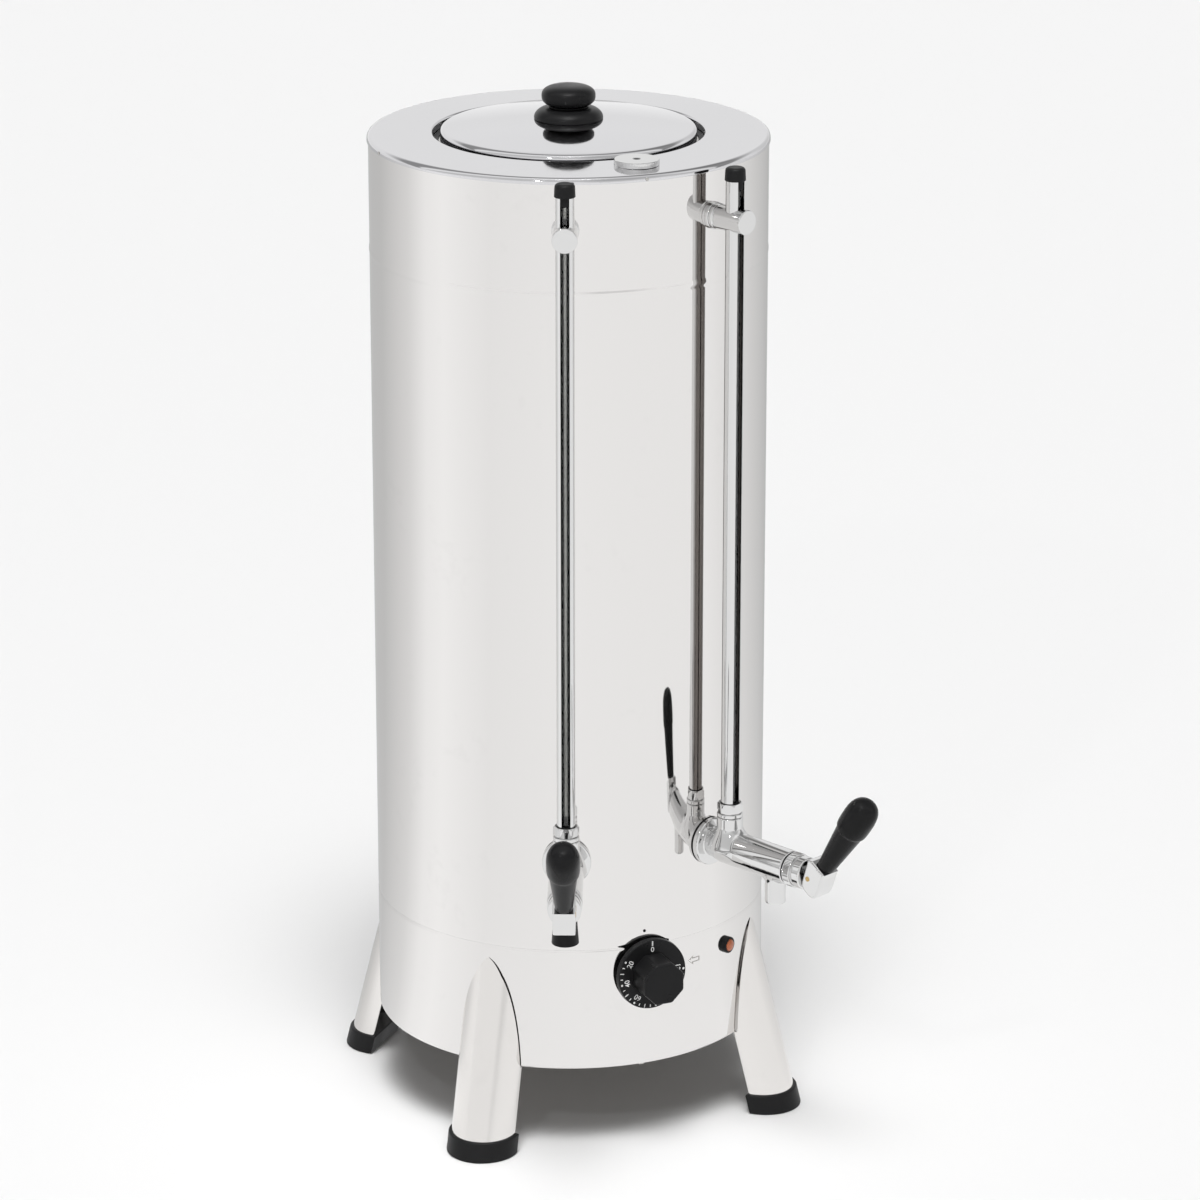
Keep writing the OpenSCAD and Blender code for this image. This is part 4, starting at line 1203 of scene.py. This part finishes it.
def lettering(word, size):
    """A word as flat triangles: its points (x to the right, y up, centred) and its faces."""
    curve = bpy.data.curves.new("mark", "FONT")
    curve.body, curve.size, curve.align_x, curve.align_y = word, size, "CENTER", "CENTER"
    curve.offset, curve.resolution_u = 0.012 * size, 6
    holder = bpy.data.objects.new("mark", curve)
    bpy.context.scene.collection.objects.link(holder)
    mesh = evaluated(holder)
    mesh.calc_loop_triangles()
    v, f = np.zeros(len(mesh.vertices) * 3), np.zeros(len(mesh.loop_triangles) * 3, int)
    mesh.vertices.foreach_get("co", v)
    mesh.loop_triangles.foreach_get("vertices", f)
    bpy.data.objects.remove(holder)
    bpy.data.curves.remove(curve)
    bpy.data.meshes.remove(mesh)
    v = v.reshape(-1, 3)[:, :2]
    return v - (v.min(0) + v.max(0)) / 2, f.reshape(-1, 3)


def bar(wide, tall):
    """A flat upright bar, centred, as two triangles."""
    corners = np.array([(-wide, -tall), (wide, -tall), (wide, tall), (-wide, tall)]) / 2
    return corners, np.array([[0, 1, 2], [0, 2, 3]])


class URN_OT_dial(bpy.types.Operator):
    """Thermostat dial: a turned disc, an eight-sided grip and printed numbers and marks.

    The grip's radius is half its width across flats over cos of the angle to the nearest flat, less an
    inset that rounds its edge; marks lie flat on the disc, each turned so that its top points outwards.
    """

    bl_idname = "urn.dial"
    bl_label = "Dial"

    def execute(self, context):
        body, z0, size, width, face, at = mm(
            context, "body_radius", "dial_height", "dial_radius", "dial_grip", "dial_reach", "dial_turn"
        )
        back, front = body + 2.5, body + 7.5
        disc = [(0, back, 0), (size, back, 0.6), (size - 0.5, front, 0.9), (0, front, 0)]
        disc = outwards(turned(disc, 144, 8), z0)
        flats, facets = width * cos(pi / 8), 192
        edge = rounded([(0, front - 1, 0), (0, front - 0.4, 0), (0.25, face, 2.2), (30, face, 0)], 8)
        a = np.linspace(0, 2 * pi, facets, endpoint=False)[None, :]
        near = (a + pi / 8) % (pi / 4) - pi / 8
        radius = np.minimum(flats / 2 / np.cos(near), width / 2 - 0.35)
        r = np.maximum(radius - edge[:, :1], 0)
        h = edge[:, 1:] + 0 * r
        v = np.stack([h, r * np.cos(a), r * np.sin(a) + z0], -1).reshape(-1, 3)
        grip = (v, quads(len(edge), facets))
        shells = [radial(disc, at), radial(grip, at)]
        put("dial_body", shells, "urn_black_plastic", ["thermostat_dial"], "dial", sharp=50)
        marks, print_at = [], front + 0.06

        def mark(v, f, angle, reach):
            """Sets flat points at an angle (from the right, anticlockwise) with their y outwards."""
            c, s = cos(angle), sin(angle)
            y, z = v[:, 0] * s + (v[:, 1] + reach) * c, -v[:, 0] * c + (v[:, 1] + reach) * s
            marks.append((np.stack([print_at + 0 * y, y, z + z0], -1), f))

        q = np.linspace(0, 2 * pi, 20, endpoint=False)
        dot = np.stack([np.cos(q), np.sin(q)], -1) * 0.95
        fan = np.stack([0 * q[2:], np.arange(1, 19), np.arange(2, 20)], -1).astype(int)
        height, first, step = 6.4, 149.5, 42.4
        mark(*lettering("0", height), pi / 2, 22.4)
        mark(*bar(1.2, 4.2), pi / 2, 27.6)
        for k in range(6):
            angle = radians(first + step * k)
            mark(*lettering(str(20 * k + 20), height), angle, 23.4)
            mark(dot, fan, angle, 28.4)
            if k:
                for quarter, tall in ((1, 2.2), (2, 3.4), (3, 2.2)):
                    mark(*bar(0.8, tall), angle - radians(step * quarter / 4), 28)
        put("dial_marks", [radial(m, at) for m in marks], "urn_dial_print", body="dial")
        return {"FINISHED"}


class URN_OT_pilot(bpy.types.Operator):
    """Pilot lamp: a black bezel seated on the skirt and an amber dome, turned round the outward axis"""

    bl_idname = "urn.pilot"
    bl_label = "Pilot lamp"

    def execute(self, context):
        body, z0, a = mm(context, "body_radius", "pilot_height", "pilot_turn")
        size, barrel, bore, well, lens = 7.1, 5, 4.2, 5.3, 5.1
        section = [
            (bore, body - 12, 0),
            (barrel, body - 12, 0),
            (barrel, body - 1, 0),
            (size, body - 0.6, 0),
            (size, body + 4.2, 1.2),
            (well, body + 4.2, 0.4),
            (well, body + 1.6, 0),
            (bore, body + 1.6, 0),
        ]
        bezel = saddled(outwards(ring(section, 72, 6), z0), body + 0.1, body - 30)
        put("pilot_bezel_ring", [radial(bezel, a)], "urn_black_plastic", ["pilot_bezel"])
        t = np.linspace(0, pi / 2, 14)
        foot = [(0, body - 11.8), (4, body - 11.8), (4, body + 1.8), (lens, body + 1.8), (lens, body + 3.4)]
        crown = np.stack([lens * np.cos(t), body + 3.8 + 2.3 * np.sin(t)], -1)
        dome = outwards(lathe(np.concatenate([foot, crown]), 48), z0)
        put("pilot_dome", [radial(dome, a)], "urn_amber_lens", ["pilot_lens"])
        return {"FINISHED"}


CARRIED = {
    "urn_inner_steel": ["jacket_floor", "filler_neck", "coffee_pipe"],
    "urn_screw_steel": ["cover_screws", "dial_spindle", "knob_screw", "coffee_spring", "water_spring"],
    "urn_chrome": ["coffee_stem", "water_stem"],
    "urn_brass": ["element_nuts", "tap_locknuts", "bracket_nuts", "coffee_lever_pin", "water_lever_pin"],
    "urn_black_rubber": [
        "cord_grommet", "tap_gaskets", "gauge_seals", "coffee_valve_disc", "water_valve_disc"
    ],
    "urn_pale_plastic": ["thermostat_body"],
    "urn_dark_steel": ["heating_element", "base_cover"],
}


class URN_OT_carried(bpy.types.Operator):
    """Finishes of the CAD solids that stay as they are"""

    bl_idname = "urn.carried"
    bl_label = "Carried solids"

    def execute(self, context):
        for name, nodes in CARRIED.items():
            for node in nodes:
                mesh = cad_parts[node].data
                mesh.materials.clear()
                mesh.materials.append(finish(name))
        return {"FINISHED"}


# Stage

# what metal sees: bands from the front horizon (0) over the zenith to the back horizon (1)
BANDS = [
    (0.0, 1.0), (0.08, 1.0), (0.14, 0.72), (0.36, 0.66), (0.43, 1.0), (0.54, 1.0),
    (0.6, 0.34), (0.74, 0.34), (0.84, 0.97), (0.9, 0.95), (0.94, 0.9), (1.0, 1.0),
]
# how much of it is left towards the right
RIGHT = [(0.0, 1.0), (0.1, 1.0), (0.3, 0.8), (0.55, 0.8), (0.8, 1.0), (1.0, 0.9)]
# and the floor's tone by the angle from the camera, in degrees to the right
SWEEP = [
    (-180, 0.5), (-134, 0.6), (-103, 0.81), (-88, 1.0), (-75, 1.05), (-45, 0.95),
    (5, 0.99), (84, 0.98), (120, 0.8), (163, 0.5), (180, 0.5),
]
LAMP_POWER, LAMP_LEAN, EVEN_LIGHT = 60.0, radians(20), 0.12
FLOOR_WHITE, FLOOR_GLOW = 0.82, 0.72
SPOT_WIDE, SPOT_POWER = 0.12, 4.0
SPOT_PLACE, SPOT_TIP, SPOT_TURN = (-1.6, -1.9, 2.3), radians(52), radians(-40)
VIEW_TURN, VIEW_TIP = radians(22.4), radians(71.791)
VIEW_PLACE, VIEW_LENS = (-1.5375, -3.7980, 1.7808), 152.74
# level directions away from the camera, towards it and to its right
BACK = (sin(VIEW_TURN), cos(VIEW_TURN))
FRONTWARD = (-BACK[0], -BACK[1], 0)
RIGHTWARD = (BACK[1], -BACK[0], 0)


def tone_ramp(tree, factor, stops):
    """Grey tones at given places from 0 to 1, with even steps between them."""
    node = add(tree, "ShaderNodeValToRGB", {0: factor})
    ramp = node.color_ramp
    while len(ramp.elements) < len(stops):
        ramp.elements.new(0.5)
    for element, (place, value) in zip(ramp.elements, stops):
        element.position, element.color = place, (value, value, value, 1)
    return node.outputs[0]


def sky(tree, colour, strength=1.0):
    """A background of that colour and strength."""
    return add(tree, "ShaderNodeBackground", {"Color": colour, "Strength": strength}).outputs[0]


def either(tree, factor, one, two):
    """Shader one, or two where the factor is 1."""
    return add(tree, "ShaderNodeMixShader", {0: factor, 1: one, 2: two}).outputs[0]


def studio_world():
    """White to the camera and glass, a soft lamp over the front for the light, bands front to back for metal.

    The lamp is (n + 2) / (2 cos lean) times the nearness to its axis to the power n, which leaves an
    open floor at 1, and a little even light is added.
    """
    world = bpy.data.worlds.new("urn_studio")
    bpy.context.scene.world = world
    world.use_nodes = True
    tree = world.node_tree
    tree.nodes.clear()
    way = add(tree, "ShaderNodeTexCoord").outputs["Generated"]
    height = add(tree, "ShaderNodeSeparateXYZ", {0: way}).outputs["Z"]
    angle = calc(tree, "ARCTAN2", height, vector(tree, "DOT_PRODUCT", way, FRONTWARD))
    bands = tone_ramp(tree, calc(tree, "DIVIDE", angle, pi), BANDS)
    shade = tone_ramp(tree, vector(tree, "DOT_PRODUCT", way, RIGHTWARD), RIGHT)
    bands = vector(tree, "MULTIPLY", bands, shade)
    axis = (-BACK[0] * sin(LAMP_LEAN), -BACK[1] * sin(LAMP_LEAN), cos(LAMP_LEAN))
    near = calc(tree, "MAXIMUM", vector(tree, "DOT_PRODUCT", way, axis), 0.0)
    peak = (LAMP_POWER + 2) / (2 * cos(LAMP_LEAN))
    level = calc(tree, "MULTIPLY_ADD", calc(tree, "POWER", near, LAMP_POWER), peak, EVEN_LIGHT)
    path = add(tree, "ShaderNodeLightPath").outputs
    white = (1, 1, 1, 1)
    clear = calc(tree, "MAXIMUM", path["Is Camera Ray"], path["Is Transmission Ray"])
    mix = either(tree, path["Is Glossy Ray"], sky(tree, white, level), sky(tree, bands))
    add(tree, "ShaderNodeOutputWorld", {"Surface": either(tree, clear, mix, sky(tree, white))})


def floor_finish():
    """White floor that keeps shadows; metal sees it as a pale sweep that greys towards the back."""
    mat = bpy.data.materials.new("stage_floor")
    mat.use_nodes = True
    tree = mat.node_tree
    tree.nodes.clear()
    at = add(tree, "ShaderNodeTexCoord").outputs["Object"]
    depth = vector(tree, "DOT_PRODUCT", at, FRONTWARD)
    side = vector(tree, "DOT_PRODUCT", at, RIGHTWARD)
    share = spread(tree, calc(tree, "ARCTAN2", side, depth), 0.0, 1.0, None, -pi, pi)
    tone = tone_ramp(tree, share, [(0.5 + place / 360, value) for place, value in SWEEP])
    white = add(tree, "ShaderNodeBsdfDiffuse", {"Color": (*[FLOOR_WHITE] * 3, 1)}).outputs[0]
    grey = add(tree, "ShaderNodeBsdfDiffuse", {"Color": tone}).outputs[0]
    glow = add(tree, "ShaderNodeEmission", {"Color": tone, "Strength": 1.0}).outputs[0]
    glossy = add(tree, "ShaderNodeLightPath").outputs["Is Glossy Ray"]
    mix = either(tree, glossy, white, either(tree, FLOOR_GLOW, grey, glow))
    add(tree, "ShaderNodeOutputMaterial", {"Surface": mix})
    return mat


class URN_OT_stage(bpy.types.Operator):
    """Pale floor, soft light and the camera at the photograph's angle"""

    bl_idname = "urn.stage"
    bl_label = "Stage"

    def execute(self, context):
        scene = context.scene
        scene.view_settings.view_transform = "Standard"
        studio_world()
        mesh = bpy.data.meshes.new("stage_floor")
        q = np.linspace(0, 2 * pi, 96, endpoint=False)
        rings = [np.stack([r * np.cos(q), r * np.sin(q), 0 * q], -1) for r in (0.0, 1.0, 6.0, 40.0)]
        mesh.from_pydata(np.concatenate(rings).tolist(), [], quads(4, 96).tolist())
        mesh.materials.append(floor_finish())
        floor = bpy.data.objects.new("stage_floor", mesh)
        scene.collection.objects.link(floor)
        lamp = bpy.data.lights.new("spot_softbox", "AREA")
        lamp.shape, lamp.size, lamp.energy = "DISK", SPOT_WIDE, SPOT_POWER
        holder = bpy.data.objects.new("spot_softbox", lamp)
        holder.location = SPOT_PLACE
        holder.rotation_euler = Euler((SPOT_TIP, 0, SPOT_TURN))
        scene.collection.objects.link(holder)
        camera = bpy.data.cameras.new("camera")
        camera.sensor_width, camera.lens = 36.0, VIEW_LENS
        camera.clip_start, camera.clip_end = 0.05, 100
        eye = bpy.data.objects.new("camera", camera)
        eye.location = VIEW_PLACE
        eye.rotation_euler = Euler((VIEW_TIP, 0, -VIEW_TURN))
        scene.collection.objects.link(eye)
        scene.camera = eye
        return {"FINISHED"}


STEPS = (
    URN_OT_body_shell,
    URN_OT_base_skirt,
    URN_OT_top_deck,
    URN_OT_legs,
    URN_OT_feet,
    URN_OT_filler,
    URN_OT_vessel,
    URN_OT_lid,
    URN_OT_taps,
    URN_OT_levers,
    URN_OT_gauges,
    URN_OT_dial,
    URN_OT_pilot,
    URN_OT_carried,
    URN_OT_stage,
)


class URN_PT_pieces(bpy.types.Panel):
    """Lists the urn's pieces and its sizes and colours"""

    bl_label = "Coffee urn"
    bl_idname = "URN_PT_pieces"
    bl_space_type = "VIEW_3D"
    bl_region_type = "UI"
    bl_category = "Urn"

    def draw(self, context):
        for step in STEPS:
            self.layout.operator(step.bl_idname)
        for group in (context.scene.urn_sizes, context.scene.urn_colours):
            column = self.layout.column()
            for key in group.bl_rna.properties.keys():
                if key not in ("rna_type", "name"):
                    column.prop(group, key)


CLASSES = (UrnSizes, UrnColours, *STEPS, URN_PT_pieces)


def register():
    for cls in CLASSES:
        bpy.utils.register_class(cls)
    bpy.types.Scene.urn_sizes = PointerProperty(type=UrnSizes)
    bpy.types.Scene.urn_colours = PointerProperty(type=UrnColours)


def unregister():
    del bpy.types.Scene.urn_colours
    del bpy.types.Scene.urn_sizes
    for cls in reversed(CLASSES):
        bpy.utils.unregister_class(cls)


def main():
    """Registers the classes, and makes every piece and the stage."""
    register()
    for step in STEPS:
        group, name = step.bl_idname.split(".")
        getattr(getattr(bpy.ops, group), name)()


if __name__ == "__main__":
    main()
